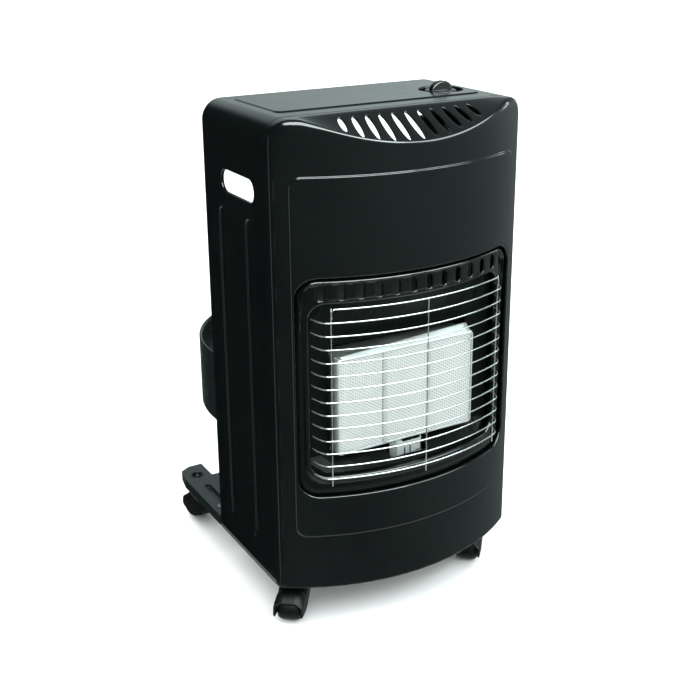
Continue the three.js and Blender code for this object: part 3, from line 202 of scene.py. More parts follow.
class SheetMaker:
    """Collects pressed sheet in one mesh, from flat patterns laid on curved surfaces."""

    def __init__(self) -> None:
        """Start with no points and no faces."""
        self.points: list[np.ndarray] = []
        self.faces: list[tuple[int, ...]] = []
        self.count = 0

    def add_points(self, points: np.ndarray) -> np.ndarray:
        """Add points in space.

        Args:
            points: the points, in millimetres.

        Returns:
            Their numbers.
        """
        ids = np.arange(self.count, self.count + len(points))
        self.points.append(np.asarray(points, dtype=float))
        self.count += len(points)
        return ids

    def add_field(
        self, border: np.ndarray, holes: Sequence[np.ndarray], creases: Sequence[np.ndarray],
        pitch: tuple[float, float], surface: Surface, flip: bool = False,
    ) -> tuple[np.ndarray, list[np.ndarray]]:
        """Fill a flat pattern with triangles and lay it on a surface.

        Args:
            border: the pattern's outline, counter-clockwise.
            holes: outlines that are cut out, counter-clockwise.
            creases: closed or open lines that the triangles follow.
            pitch: the grid's step in both directions.
            surface: turns flat points into points in space.
            flip: whether the outer side is the back of the pattern.

        Returns:
            The numbers of the border's points, and those of each hole's.
        """
        loops = [border, *holes]
        flat: list[np.ndarray] = []
        edges: list[tuple[int, int]] = []
        start = 0
        for number, line in enumerate([*loops, *creases]):
            n = len(line)
            flat.append(line)
            edges += [(start + k, start + k + 1) for k in range(n - 1)]
            if number < len(loops) or np.linalg.norm(line[0] - line[-1]) < 3 * pitch[0]:
                edges.append((start + n - 1, start))
            start += n
        lines = np.concatenate(flat)
        low, high = border.min(axis=0), border.max(axis=0)
        axes = [np.linspace(low[k], high[k], max(3, int((high[k] - low[k]) / pitch[k]) + 1)) for k in (0, 1)]
        grid = np.stack(np.meshgrid(axes[0], axes[1]), axis=-1).reshape(-1, 2)
        grid = grid[inside(grid, border)]
        for hole in holes:
            grid = grid[~inside(grid, hole)]
        clear = min(pitch) * 0.45
        keep = np.ones(len(grid), dtype=bool)
        for first in range(0, len(lines), 400):
            near = np.linalg.norm(grid[:, None, :] - lines[None, first:first + 400, :], axis=2)
            keep &= near.min(axis=1) > clear
        every = np.concatenate([lines, grid[keep]])
        made = delaunay_2d_cdt([Vector(p) for p in every], edges, [], 0, 1e-6)
        out = np.array([tuple(v) for v in made[0]])
        corners = np.array([f for f in made[2] if len(f) == 3])
        middles = out[corners].mean(axis=1)
        good = inside(middles, border)
        for hole in holes:
            good &= ~inside(middles, hole)
        corners = corners[good]
        sides = out[corners]
        turn = np.cross(sides[:, 1] - sides[:, 0], sides[:, 2] - sides[:, 0])
        ids = self.add_points(surface(out))
        for (a, b, c), area in zip(corners, turn):
            forward = (area > 0) != flip
            self.faces.append((ids[a], ids[b], ids[c]) if forward else (ids[a], ids[c], ids[b]))
        where = {}
        for new, olds in enumerate(made[3]):
            for old in olds:
                where[old] = ids[new]
        found: list[np.ndarray] = []
        start = 0
        for line in loops:
            found.append(np.array([where[start + k] for k in range(len(line))]))
            start += len(line)
        return found[0], found[1:]

    def add_rows(
        self, first: np.ndarray, rows: Sequence[np.ndarray], closed: bool, flip: bool = False
    ) -> np.ndarray:
        """Join rows of points to an edge that is already there, one strip after another.

        Args:
            first: the numbers of the points on the edge.
            rows: the rows in space, each as long as the edge.
            closed: whether each row closes on itself.
            flip: which side is the outer one.

        Returns:
            The numbers of the last row's points.
        """
        before = first
        for row in rows:
            after = self.add_points(row)
            n = len(after)
            for k in range(n if closed else n - 1):
                a, b = before[k], before[(k + 1) % n]
                c, d = after[(k + 1) % n], after[k]
                self.faces.append((a, b, c, d) if not flip else (b, a, d, c))
            before = after
        return before

    def add_sweep(
        self, path: np.ndarray, section: np.ndarray, upright: Optional[np.ndarray] = None,
        scale: Optional[Sequence[float]] = None,
    ) -> None:
        """Draw a closed section along an open path, and close both ends.

        Args:
            path: points of the path.
            section: the section's (across, up) points, counter-clockwise when looking along the path.
            upright: the direction that stays up all the way, or None to turn with the path.
            scale: the section's scale at each point of the path.
        """
        along = np.gradient(path, axis=0)
        along /= np.linalg.norm(along, axis=1)[:, None]
        up = np.array([0.0, 0.0, 1.0]) if abs(along[0, 2]) < 0.9 else np.array([0.0, -1.0, 0.0])
        rings: list[np.ndarray] = []
        for number, (place, ahead) in enumerate(zip(path, along)):
            if upright is not None:
                up = upright
            across = np.cross(ahead, up)
            across /= np.linalg.norm(across)
            up = np.cross(across, ahead)
            size = 1.0 if scale is None else scale[number]
            rings.append(place + (section[:, :1] * across + section[:, 1:] * up) * size)
        first = self.add_points(rings[0])
        last = self.add_rows(first, rings[1:], True, True)
        self.faces.append(tuple(int(k) for k in first))
        self.faces.append(tuple(int(k) for k in last[::-1]))

    def add_bar(self, path: np.ndarray, radius: float, sides: int = 12) -> None:
        """Draw a round bar with softened ends along a path.

        Args:
            path: points of the bar's middle line.
            radius: its radius.
            sides: the number of flats round it.
        """
        ring = circle(0.0, 0.0, radius, full_turn(sides))
        ahead, behind = path[1] - path[0], path[-1] - path[-2]
        near = path[0] + ahead / np.linalg.norm(ahead) * radius * END_SHARE
        far = path[-1] - behind / np.linalg.norm(behind) * radius * END_SHARE
        route = np.concatenate([path[:1], [near], path[1:-1], [far], path[-1:]])
        self.add_sweep(route, ring, None, [END_SCALE, *([1.0] * (len(route) - 2)), END_SCALE])

    def build(self, name: str, sheet: float = 0.0, crease: float = 50.0) -> bpy.types.Object:
        """Make the object.

        Args:
            name: the piece's name.
            sheet: the sheet's thickness in millimetres, laid on the inner side, or 0 for none.
            crease: the angle in degrees from which an edge stays sharp.

        Returns:
            The new object, linked into the scene.
        """
        mesh = bpy.data.meshes.new(name)
        places = to_metres(np.concatenate(self.points))
        mesh.from_pydata([tuple(p) for p in places], [], [tuple(int(k) for k in f) for f in self.faces])
        body = bmesh.new()
        body.from_mesh(mesh)
        bmesh.ops.remove_doubles(body, verts=body.verts, dist=WELD)
        bmesh.ops.dissolve_degenerate(body, edges=body.edges, dist=TINY)
        body.to_mesh(mesh)
        body.free()
        mesh.polygons.foreach_set("use_smooth", [True] * len(mesh.polygons))
        mesh.set_sharp_from_angle(angle=math.radians(crease))
        piece = bpy.data.objects.new(name, mesh)
        bpy.context.scene.collection.objects.link(piece)
        if sheet:
            thick = piece.modifiers.new("sheet", "SOLIDIFY")
            thick.thickness = sheet / 1000.0
            thick.offset = -1.0
            thick.use_even_offset = False
        return piece


def face_outwards(piece: bpy.types.Object, open_below: bool = False) -> bpy.types.Object:
    """Turn all faces of a piece outwards.

    Args:
        piece: the piece, whose mesh is changed.
        open_below: whether it is a shell open below, whose topmost face then has to look up.

    Returns:
        The same piece.
    """
    body = bmesh.new()
    body.from_mesh(piece.data)
    bmesh.ops.recalc_face_normals(body, faces=body.faces)
    if open_below and max(body.faces, key=lambda face: face.calc_center_median().z).normal.z < 0:
        bmesh.ops.reverse_faces(body, faces=body.faces)
    body.to_mesh(piece.data)
    body.free()
    return piece


def dress(piece: bpy.types.Object, paint: "Paint") -> None:
    """Give a piece one finish over its whole surface.

    Args:
        piece: the piece.
        paint: its finish.
    """
    material = paint.value.material()
    if not piece.material_slots:
        piece.data.materials.append(material)
    for slot in piece.material_slots:
        slot.link = "OBJECT"
        slot.material = material


def stand_in(piece: bpy.types.Object, paint: "Paint", body: str, slot: str, *nodes: str) -> None:
    """Put a piece on its body, in place of its CAD nodes, and dress it.

    Args:
        piece: the piece.
        paint: its finish.
        body: the body that it rides on.
        slot: the name of its slot; not used.
        nodes: the CAD nodes that it stands in for, if any.
    """
    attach(piece, body)
    if nodes:
        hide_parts(*nodes)
    dress(piece, paint)


# ---------------------------------------------------------------- finishes


class NodeTree:
    """A node tree, with short calls for the nodes that the finishes and the room share."""

    def __init__(self, tree: bpy.types.NodeTree) -> None:
        """Take the tree as it is."""
        self.tree = tree

    def node(self, kind: str, **values: object) -> bpy.types.Node:
        """Add a node.

        Args:
            kind: Blender's name for its type.
            values: its plain attributes.

        Returns:
            The new node.
        """
        made = self.tree.nodes.new(kind)
        for key, value in values.items():
            setattr(made, key, value)
        return made

    def link(self, source: bpy.types.NodeSocket, target: bpy.types.NodeSocket) -> None:
        """Join two sockets."""
        self.tree.links.new(source, target)

    def spread(
        self, source: bpy.types.NodeSocket, low: float, high: float, start: float = 0.3, end: float = 0.7,
        shape: str = "LINEAR",
    ) -> bpy.types.NodeSocket:
        """Map a varying strength to another range.

        Args:
            source: the strength.
            low, high: what it becomes at start and at end.
            start, end: the strengths that are mapped, with all beyond them held.
            shape: how it runs from the one to the other.

        Returns:
            The socket that carries the result.
        """
        ranged = self.node("ShaderNodeMapRange", interpolation_type=shape)
        for key, value in (("From Min", start), ("From Max", end), ("To Min", low), ("To Max", high)):
            ranged.inputs[key].default_value = value
        self.link(source, ranged.inputs["Value"])
        return ranged.outputs["Result"]

    def blend(self, factor: bpy.types.NodeSocket, first: "Tone", second: "Tone") -> bpy.types.NodeSocket:
        """Mix two colours by a varying strength.

        Args:
            factor: the strength, 0 for the first and 1 for the second.
            first, second: each a colour or a socket that carries one.

        Returns:
            The socket that carries the mixture.
        """
        mix = self.node("ShaderNodeMix", data_type="RGBA")
        self.link(factor, mix.inputs["Factor"])
        for key, value in ((6, first), (7, second)):
            if isinstance(value, bpy.types.NodeSocket):
                self.link(value, mix.inputs[key])
            else:
                mix.inputs[key].default_value = (*value, 1.0)
        return mix.outputs[2]


class Wiring(NodeTree):
    """A material's node tree, with its shader and its place on the object."""

    def __init__(self, name: str) -> None:
        """Make an empty material with a shader and an output.

        Args:
            name: the material's name.
        """
        self.material = bpy.data.materials.new(name)
        self.material.use_nodes = True
        super().__init__(self.material.node_tree)
        self.tree.nodes.clear()
        self.shader = self.node("ShaderNodeBsdfPrincipled")
        self.link(self.shader.outputs["BSDF"], self.node("ShaderNodeOutputMaterial").inputs["Surface"])
        self.place = self.node("ShaderNodeTexCoord").outputs["Object"]

    def noise(
        self, scale: float, detail: float = 3.0, stretch: Optional[Colour] = None
    ) -> bpy.types.NodeSocket:
        """Add a noise in the object's own space.

        Args:
            scale: how many times it repeats in a metre.
            detail: how many finer layers it has.
            stretch: a factor along each axis, or None for an even noise.

        Returns:
            The socket that carries its strength.
        """
        texture = self.node("ShaderNodeTexNoise")
        texture.inputs["Scale"].default_value = scale
        texture.inputs["Detail"].default_value = detail
        source = self.place
        if stretch:
            mapping = self.node("ShaderNodeMapping")
            mapping.inputs["Scale"].default_value = stretch
            self.link(source, mapping.inputs["Vector"])
            source = mapping.outputs["Vector"]
        self.link(source, texture.inputs["Vector"])
        return texture.outputs["Fac"]

    def relief(
        self, source: bpy.types.NodeSocket, depth: float, strength: float,
        under: Optional[bpy.types.NodeSocket] = None,
    ) -> bpy.types.NodeSocket:
        """Turn a varying strength into a relief.

        Args:
            source: the strength.
            depth: the relief's depth in metres.
            strength: how much of it shows, from 0 to 1.
            under: another relief below this one, or None.

        Returns:
            The socket that carries the normal.
        """
        bump = self.node("ShaderNodeBump")
        bump.inputs["Distance"].default_value = depth
        bump.inputs["Strength"].default_value = strength
        self.link(source, bump.inputs["Height"])
        if under:
            self.link(under, bump.inputs["Normal"])
        return bump.outputs["Normal"]


Tone = Colour | bpy.types.NodeSocket


@dataclass(frozen=True)
class Finish:
    """A surface finish: its colour, its gloss and its grain."""

    name: str
    colour: Colour
    drift: Colour
    roughness: float
    rough_spread: float = 0.06
    metal: float = 0.0
    gloss: float = 0.5
    grain: float = 900.0
    grain_depth: float = 0.00002
    grain_strength: float = 0.2
    stretch: Optional[Colour] = None

    def colouring(self, wiring: Wiring) -> bpy.types.NodeSocket:
        """Drift the colour slowly over the piece."""
        return wiring.blend(wiring.spread(wiring.noise(9.0), 0.0, 1.0), self.colour, self.drift)

    def surface(self, wiring: Wiring) -> bpy.types.NodeSocket:
        """Give the fine grain over a slow waviness of the sheet.

        Args:
            wiring: the material's nodes.

        Returns:
            The socket that carries the normal.
        """
        slow = wiring.relief(wiring.noise(5.0, 0.0), 0.0004, 0.02)
        return wiring.relief(wiring.noise(self.grain, 2.0, self.stretch), self.grain_depth,
                             self.grain_strength, slow)

    def material(self) -> bpy.types.Material:
        """Make the finish's node material, or give the one that is there already.

        Returns:
            The material.
        """
        found = bpy.data.materials.get(self.name)
        if found:
            return found
        wiring = Wiring(self.name)
        shader = wiring.shader.inputs
        shader["Metallic"].default_value = self.metal
        shader["Specular IOR Level"].default_value = self.gloss
        wiring.link(self.colouring(wiring), shader["Base Color"])
        smudged = wiring.spread(wiring.noise(22.0, 4.0), self.roughness - self.rough_spread,
                                self.roughness + self.rough_spread)
        wiring.link(smudged, shader["Roughness"])
        wiring.link(self.surface(wiring), shader["Normal"])
        return wiring.material


@dataclass(frozen=True)
class Plaque(Finish):
    """Burner ceramic, pricked with staggered rows of fine gas holes, each darkened with painted shade."""

    across: float = 0.0076
    upwards: float = 0.0050
    hole: float = 0.00100
    # painted shade: the dark colour laid into each gas hole stands in for the shade inside it
    hole_shade_colour: Colour = (0.06, 0.065, 0.063)

    def offset(
        self, wiring: Wiring, source: bpy.types.NodeSocket, pitch: float, shift: float
    ) -> bpy.types.NodeSocket:
        """Measure how far a coordinate lies from the nearest hole's middle, squared.

        Args:
            wiring: the material's nodes.
            source: the socket that carries the coordinate.
            pitch: the step from hole to hole.
            shift: how far this row is staggered, as a share of the pitch.

        Returns:
            The socket that carries the square.
        """
        value = source
        for operation, number in (("MULTIPLY", 1.0 / pitch), ("ADD", shift), ("FRACT", 0.0),
                                  ("SUBTRACT", 0.5), ("MULTIPLY", pitch), ("POWER", 2.0)):
            step = wiring.node("ShaderNodeMath", operation=operation)
            step.inputs[1].default_value = number
            wiring.link(value, step.inputs[0])
            value = step.outputs[0]
        return value

    def holes(self, wiring: Wiring) -> bpy.types.NodeSocket:
        """Mark the holes, in staggered columns over the front face.

        Args:
            wiring: the material's nodes.

        Returns:
            The socket that carries 1 in the holes and 0 between them.
        """
        parts = wiring.node("ShaderNodeSeparateXYZ")
        wiring.link(wiring.place, parts.inputs[0])
        both = wiring.node("ShaderNodeMath", operation="MAXIMUM")
        for number, shift in enumerate((0.0, 0.5)):
            total = wiring.node("ShaderNodeMath", operation="ADD")
            wiring.link(self.offset(wiring, parts.outputs["X"], self.across, shift), total.inputs[0])
            wiring.link(self.offset(wiring, parts.outputs["Z"], self.upwards, shift), total.inputs[1])
            root = wiring.node("ShaderNodeMath", operation="SQRT")
            wiring.link(total.outputs[0], root.inputs[0])
            round_hole = wiring.spread(root.outputs[0], 1.0, 0.0, self.hole * 0.7, self.hole)
            wiring.link(round_hole, both.inputs[number])
        return both.outputs[0]

    def colouring(self, wiring: Wiring) -> bpy.types.NodeSocket:
        """Paint shade into the holes: darken them on the drifting white of the ceramic."""
        white = wiring.blend(wiring.spread(wiring.noise(30.0), 0.0, 1.0), self.colour, self.drift)
        return wiring.blend(self.holes(wiring), white, self.hole_shade_colour)

    def surface(self, wiring: Wiring) -> bpy.types.NodeSocket:
        """Sink the holes into the fine grain of the fired clay.

        Args:
            wiring: the material's nodes.

        Returns:
            The socket that carries the normal.
        """
        grain = wiring.relief(wiring.noise(1400.0, 2.0), 0.00005, 0.3)
        inverse = wiring.spread(self.holes(wiring), 1.0, 0.0, 0.0, 1.0)
        return wiring.relief(inverse, 0.0006, 0.5, grain)


class Paint(Enum):
    """The finishes of the heater."""

    SATIN = Finish("satin_black_paint", (0.0020, 0.0030, 0.0030), (0.0030, 0.0043, 0.0042), 0.13,
                   rough_spread=0.035, gloss=0.44, grain=620.0, grain_depth=0.00003, grain_strength=0.10)
    ENAMEL = Finish("gloss_black_enamel", (0.0016, 0.0022, 0.0022), (0.0026, 0.0034, 0.0032), 0.12,
                    rough_spread=0.04, gloss=0.45, grain=260.0, grain_depth=0.00004, grain_strength=0.12)
    FIREBOX = Finish("dull_black_enamel", (0.0026, 0.0040, 0.0038), (0.0040, 0.0058, 0.0054), 0.42,
                     rough_spread=0.05, gloss=0.04, grain=420.0, grain_strength=0.15)
    RAIL = Finish("grey_green_paint", (0.0060, 0.0090, 0.0088), (0.0085, 0.0120, 0.0116), 0.24,
                  gloss=0.38, grain=520.0, grain_depth=0.00004, grain_strength=0.16)
    CHROME = Finish("chrome_wire", (0.50, 0.54, 0.53), (0.45, 0.49, 0.48), 0.20, rough_spread=0.05,
                    metal=0.86, grain=1500.0, grain_depth=0.00001)
    STEEL = Finish("pale_steel", (0.40, 0.44, 0.43), (0.35, 0.39, 0.38), 0.42, rough_spread=0.08,
                   metal=0.35, grain=700.0, grain_depth=0.00002, grain_strength=0.2,
                   stretch=(1.0, 1.0, 12.0))
    ZINC = Finish("zinc_plated_steel", (0.24, 0.255, 0.25), (0.17, 0.18, 0.178), 0.46, rough_spread=0.12,
                  metal=0.9, grain=240.0, grain_depth=0.00003, grain_strength=0.2)
    CERAMIC = Plaque("pricked_ceramic", (0.44, 0.468, 0.458), (0.405, 0.43, 0.42), 0.85, gloss=0.2)
    BRASS = Finish("dulled_brass", (0.20, 0.155, 0.07), (0.14, 0.11, 0.05), 0.38, metal=1.0, grain=900.0)
    COPPER = Finish("copper_tube", (0.50, 0.24, 0.13), (0.34, 0.16, 0.09), 0.34, metal=1.0, grain=700.0)
    PLASTIC = Finish("black_moulded_plastic", (0.0030, 0.0036, 0.0036), (0.0038, 0.0046, 0.0045), 0.46,
                     gloss=0.13, grain=1800.0, grain_depth=0.00003, grain_strength=0.18)
    KNOB = Finish("black_knob_plastic", (0.0030, 0.0034, 0.0034), (0.0042, 0.0048, 0.0046), 0.20,
                  gloss=0.5, grain=1200.0, grain_depth=0.00002, grain_strength=0.15)
    PORCELAIN = Finish("white_porcelain", (0.80, 0.79, 0.75), (0.70, 0.69, 0.64), 0.25, grain=500.0)
    FLOOR = Finish("pale_studio_floor", (0.86, 0.87, 0.87), (0.84, 0.85, 0.85), 0.60, gloss=0.2, grain=60.0,
                   grain_depth=0.0001, grain_strength=0.05)


# ---------------------------------------------------------------- the cabinet's shape


@dataclass(frozen=True)
class Cabinet:
    """The sheet-steel cabinet's driving sizes, in millimetres of its own frame."""

    half_width: float = 205.0
    side_depth: float = 210.0
    bulge: float = 64.0
    height: float = 691.0
    sheet: float = 1.2
    shoulder: float = 30.0
    seam: float = 199.0
    seam_gap: float = 0.3
    seam_run: float = 0.9
    seam_steps: tuple[tuple[float, float], ...] = ((0.26, 0.28), (0.0, 1.2))

    @property
    def radius(self) -> float:
        """Radius of the bulged front."""
        return (self.half_width ** 2 + self.bulge ** 2) / (2 * self.bulge)

    @property
    def centre(self) -> float:
        """How far behind the rear edge the bulge's centre lies."""
        return self.radius - self.side_depth - self.bulge

    def skin(self, x: np.ndarray, inset: float = 0.0) -> np.ndarray:
        """Depth of the front skin, or of a surface inset from it."""
        return self.centre - np.sqrt((self.radius - inset) ** 2 - np.asarray(x, dtype=float) ** 2)

    def arch(self) -> tuple[np.ndarray, np.ndarray]:
        """Trace the cabinet seen from the front, up the right side and down the left.

        Returns:
            The points, and the inward direction at each.
        """
        w, r, top = self.half_width, self.shoulder, self.height
        rise, run = top - r, w - r
        points: list[tuple[float, float]] = []
        inward: list[tuple[float, float]] = []
        side_step, top_step, arc = 8.0, 5.0, 12
        steps = int(rise / side_step)
        for k in range(steps):
            points.append((w, rise * k / steps))
            inward.append((-1.0, 0.0))
        for k in range(arc + 1):
            angle = math.pi / 2 * k / arc
            points.append((run + r * math.cos(angle), rise + r * math.sin(angle)))
            inward.append((-math.cos(angle), -math.sin(angle)))
        across = int(run / top_step)
        for k in range(1, across + 1):
            points.append((run * (1 - k / across), top))
            inward.append((0.0, -1.0))
        half_points, half_inward = np.array(points), np.array(inward)
        mirrored = half_points[:-1][::-1] * (-1, 1)
        mirrored_inward = half_inward[:-1][::-1] * (-1, 1)
        return np.concatenate([half_points, mirrored]), np.concatenate([half_inward, mirrored_inward])


CABINET = Cabinet()


def counter_clockwise(outline: np.ndarray) -> np.ndarray:
    """Put a closed outline in counter-clockwise order.

    Args:
        outline: its points, in either order.

    Returns:
        The same points.
    """
    x, z = outline[:, 0], outline[:, 1]
    area = np.sum(x * np.roll(z, -1) - np.roll(x, -1) * z)
    return outline if area > 0 else outline[::-1].copy()


def roll_steps(radius: float, steps: int = 5) -> list[tuple[float, float]]:
    """Give the steps of a quarter-round edge, each as what is left outwards and what is gone inwards."""
    angles = [math.pi / 2 * k / steps for k in range(1, steps + 1)]
    return [(radius * (1 - math.sin(a)), radius * (1 - math.cos(a))) for a in angles]


def turned(points: np.ndarray, angle: float) -> np.ndarray:
    """Turn points about Z.

    Args:
        points: the points in space.
        angle: the turn in degrees, counter-clockwise from above.

    Returns:
        The turned points.
    """
    a = math.radians(angle)
    spin = np.array([[math.cos(a), math.sin(a), 0], [-math.sin(a), math.cos(a), 0], [0, 0, 1]])
    return points @ spin


def back_from(points: np.ndarray, depth: float) -> np.ndarray:
    """Move points straight back by a depth."""
    return points + np.array([0.0, depth, 0.0])


@dataclass
class FrontPanel:
    """The bulged front: raised field, window edge, rolled corners and the scooped outlet."""

    cabinet: Cabinet = CABINET
    corner_roll: float = 12.0
    edge_roll: float = 9.0
    lip_roll: float = 4.6
    fold_blend: float = 4.0
    scoop_half: float = 167.0
    scoop_drop: float = 37.0
    field_half: float = 183.5
    field_bottom: float = 86.0
    field_top: float = 617.0
    field_corner: float = 16.0
    field_rise: float = 2.0
    field_ramp: tuple[float, float] = (-1.9, 0.2)
    window_half: float = 179.0
    window_bottom: float = 150.0
    window_top: float = 478.0
    window_corner: float = 30.0
    window_roll: float = 2.2
    window_depth: float = 9.0
    foot_roll: float = 1.6
    foot_flange: float = 9.0
    vent_width: float = 9.0
    vent_pitch: float = 20.6
    vent_start: float = 9.0
    vent_fan: float = 2.4
    vent_rim: float = 0.9
    vent_lip: float = 2.2
    lip_widens: tuple[float, float] = (128.0, 168.0)
    ball_widens: tuple[float, float] = (2.0, 30.0)
    face_pitch: tuple[float, float] = (5.0, 9.0)
    top_pitch: tuple[float, float] = (5.0, 4.0)
    foot_pitch: float = 6.0
    field_lines: tuple[float, ...] = (-0.9, -0.2, 0.3, 0.8, 1.3, 1.9, 2.6)
    foot_lines: tuple[float, ...] = (1.3, 3.0)
    corner_lines: tuple[float, ...] = (2.6, 5.2)
    fold_shares: tuple[float, ...] = (-1.6, -1.0, -0.5, 0.0, 0.5, 1.0)
    vent_lengths: tuple[float, ...] = (30, 41, 45, 49, 50, 50, 48, 46, 40, 35, 27)

    def drop(self, x: np.ndarray) -> np.ndarray:
        """How far the outlet's lip lies below the top."""
        share = np.clip(np.abs(np.asarray(x, dtype=float)) / self.scoop_half, 0, 1)
        return self.scoop_drop * (1 - share ** 2)

    def slope(self, x: np.ndarray) -> np.ndarray:
        """Rise of the outlet's floor for each millimetre to the rear."""
        return self.drop(x) / np.maximum(-self.cabinet.side_depth - self.cabinet.skin(x), 0.5)

    def lip_radius(self, x: np.ndarray) -> np.ndarray:
        """Radius that the lip is rolled to, wider where it runs out into the top edge."""
        return self.lip_roll + (self.edge_roll - self.lip_roll) * smooth_step(np.abs(x), *self.lip_widens)

    def face(self, flat: np.ndarray) -> np.ndarray:
        """Lay points on the bulged face, with the raised field.

        Args:
            flat: the (x, z) points.

        Returns:
            The points in space.
        """
        away = rounded_distance(flat, -self.field_half, self.field_half, self.field_bottom,
                                self.field_top, self.field_corner)
        raised = self.field_rise * (1 - smooth_step(away, *self.field_ramp))
        return at_depth(flat, self.cabinet.skin(flat[:, 0]) - raised)

    def top(self, flat: np.ndarray) -> np.ndarray:
        """Lay points on the outlet's floor and the flat strip behind it.

        Args:
            flat: the (x, y) points.

        Returns:
            The points in space.
        """
        ahead = -self.cabinet.side_depth - flat[:, 1]
        blend = self.fold_blend
        ramp = np.where(ahead > blend, ahead, np.clip(ahead + blend, 0, None) ** 2 / (4 * blend))
        return at_level(flat, self.cabinet.height - self.slope(flat[:, 0]) * ramp)

    def vents(self) -> list[np.ndarray]:
        """Draw the vents in plan, fanned a little towards their front ends.

        Returns:
            One oval outline for each vent, from left to right.
        """
        ovals: list[np.ndarray] = []
        angles = full_turn(28)
        middle = (len(self.vent_lengths) - 1) / 2
        for k, length in enumerate(self.vent_lengths):
            turn = math.radians((k - middle) * self.vent_fan)
            x = self.vent_width / 2 * np.cos(angles)
            y = -length / 2 + length / 2 * np.sin(angles)
            spun = np.stack([x * math.cos(turn) - y * math.sin(turn),
                             x * math.sin(turn) + y * math.cos(turn)], axis=1)
            ovals.append(spun + ((k - middle) * self.vent_pitch, -self.cabinet.side_depth - self.vent_start))
        return ovals

    def ball_contact(
        self, points: np.ndarray, inward: np.ndarray, radius: np.ndarray
    ) -> tuple[np.ndarray, np.ndarray]:
        """Roll a ball inside the corner between the side wall and the face.

        Args:
            points: points of the arch.
            inward: the inward direction at each.
            radius: the ball's radius at each.

        Returns:
            How far inwards each ball touches the face, and the depth of its middle.
        """
        def depth(d: np.ndarray) -> np.ndarray:
            """Give the depth of each ball's middle when it touches the face this far inwards."""
            x = points[:, 0] + inward[:, 0] * d
            return self.cabinet.skin(x) + np.sqrt(np.maximum(radius ** 2 - (d - radius) ** 2, 0))

        low, high = np.zeros(len(points)), 2 * radius
        narrowings = 70
        for _ in range(narrowings):
            first, second = low + (high - low) / 3, high - (high - low) / 3
            left = depth(first) > depth(second)
            low, high = np.where(left, low, first), np.where(left, second, high)
        touch = (low + high) / 2
        return touch, depth(touch)

    def build(self) -> bpy.types.Object:
        """Press the whole panel as one sheet.

        Returns:
            The panel.
        """
        maker = SheetMaker()
        cabinet = self.cabinet
        points, inward = cabinet.arch()
        points[:, 1] = np.maximum(points[:, 1], self.foot_roll)
        flat_half = cabinet.half_width - cabinet.shoulder + TINY
        top = (np.abs(points[:, 0]) <= flat_half) & (points[:, 1] > cabinet.height / 2)
        below = cabinet.height - points[:, 1]
        ball = self.edge_roll + (self.corner_roll - self.edge_roll) * smooth_step(below, *self.ball_widens)
        touch, middle = self.ball_contact(points, inward, ball)
        x = points[:, 0]
        slope, lip = self.slope(x), self.lip_radius(x)
        lip_middle = cabinet.height - self.drop(x) + slope * lip - lip * np.sqrt(1 + slope ** 2)
        contact = points + inward * touch[:, None]
        contact[top] = np.stack([x[top], lip_middle[top]], axis=1)
        left, right = contact[-1], contact[0]
        count = int((right[0] - left[0]) / self.foot_pitch)
        foot = np.linspace(left, right, count)[1:-1]
        border = np.concatenate([contact, foot])
        window = rounded_outline(-self.window_half, self.window_half, self.window_bottom, self.window_top,
                                 self.window_corner, 5.0, 10)
        hole = grown(window, self.window_roll)
        raised = rounded_outline(-self.field_half, self.field_half, self.field_bottom, self.field_top,
                                 self.field_corner, 3.0, 10)
        crease = [grown(raised, -g) for g in self.field_lines]
        crease += [foot + (0.0, g) for g in self.foot_lines]
        last_right, first_left = int(np.flatnonzero(top)[0]), int(np.flatnonzero(top)[-1])
        crease += [(contact + inward * g)[part] for g in self.corner_lines
                   for part in (slice(1, last_right - 1), slice(first_left + 2, len(points) - 1))]
        border_ids, (hole_ids,) = maker.add_field(border, [hole], crease, self.face_pitch, self.face)
        face = self.face(hole)
        rows = [at_depth(grown(window, g), face[:, 1] + d) for g, d in roll_steps(self.window_roll)]
        rows.append(back_from(rows[-1], self.window_depth - self.window_roll))
        maker.add_rows(hole_ids, rows, True)
        arch_ids = border_ids[: len(points)]
        firsts = self.add_sides(maker, arch_ids, points, inward, ball, touch, middle, top)
        self.add_top(maker, arch_ids[top], x[top], middle[np.flatnonzero(top)[0]])
        self.add_foot(maker, border_ids, len(points), firsts)
        return maker.build("front_skin", cabinet.sheet)

    def add_sides(
        self, maker: SheetMaker, ids: np.ndarray, points: np.ndarray, inward: np.ndarray,
        ball: np.ndarray, touch: np.ndarray, middle: np.ndarray, top: np.ndarray,
    ) -> list[list[int]]:
        """Roll both corners back to the seam.

        Args:
            maker: the sheet so far.
            ids: the numbers of the arch's points on the face.
            points, inward: the arch, and the inward direction at each point.
            ball: the radius that the corner is rolled to.
            touch, middle: how far inwards the roll meets the face, and how deep its middle lies.
            top: which points belong to the outlet's edge, and aren't rolled here.

        Returns:
            For each side, the numbers of the points on its lowest row, from the face to the seam.
        """
        cabinet = self.cabinet
        last_right, first_left = int(np.flatnonzero(top)[0]), int(np.flatnonzero(top)[-1])
        lowest: list[list[int]] = []
        for part in (slice(0, last_right + 1), slice(first_left, len(points))):
            p, n, e, t, m = points[part], inward[part], ball[part], touch[part], middle[part]
            face = cabinet.skin(p[:, 0] + n[:, 0] * t)
            start = np.arctan2(face - m, t - e)
            rows: list[np.ndarray] = []

            def row(d: np.ndarray, y: np.ndarray) -> np.ndarray:
                """Place one row at a distance inside the arch."""
                return at_depth(p + n * d[:, None], y)

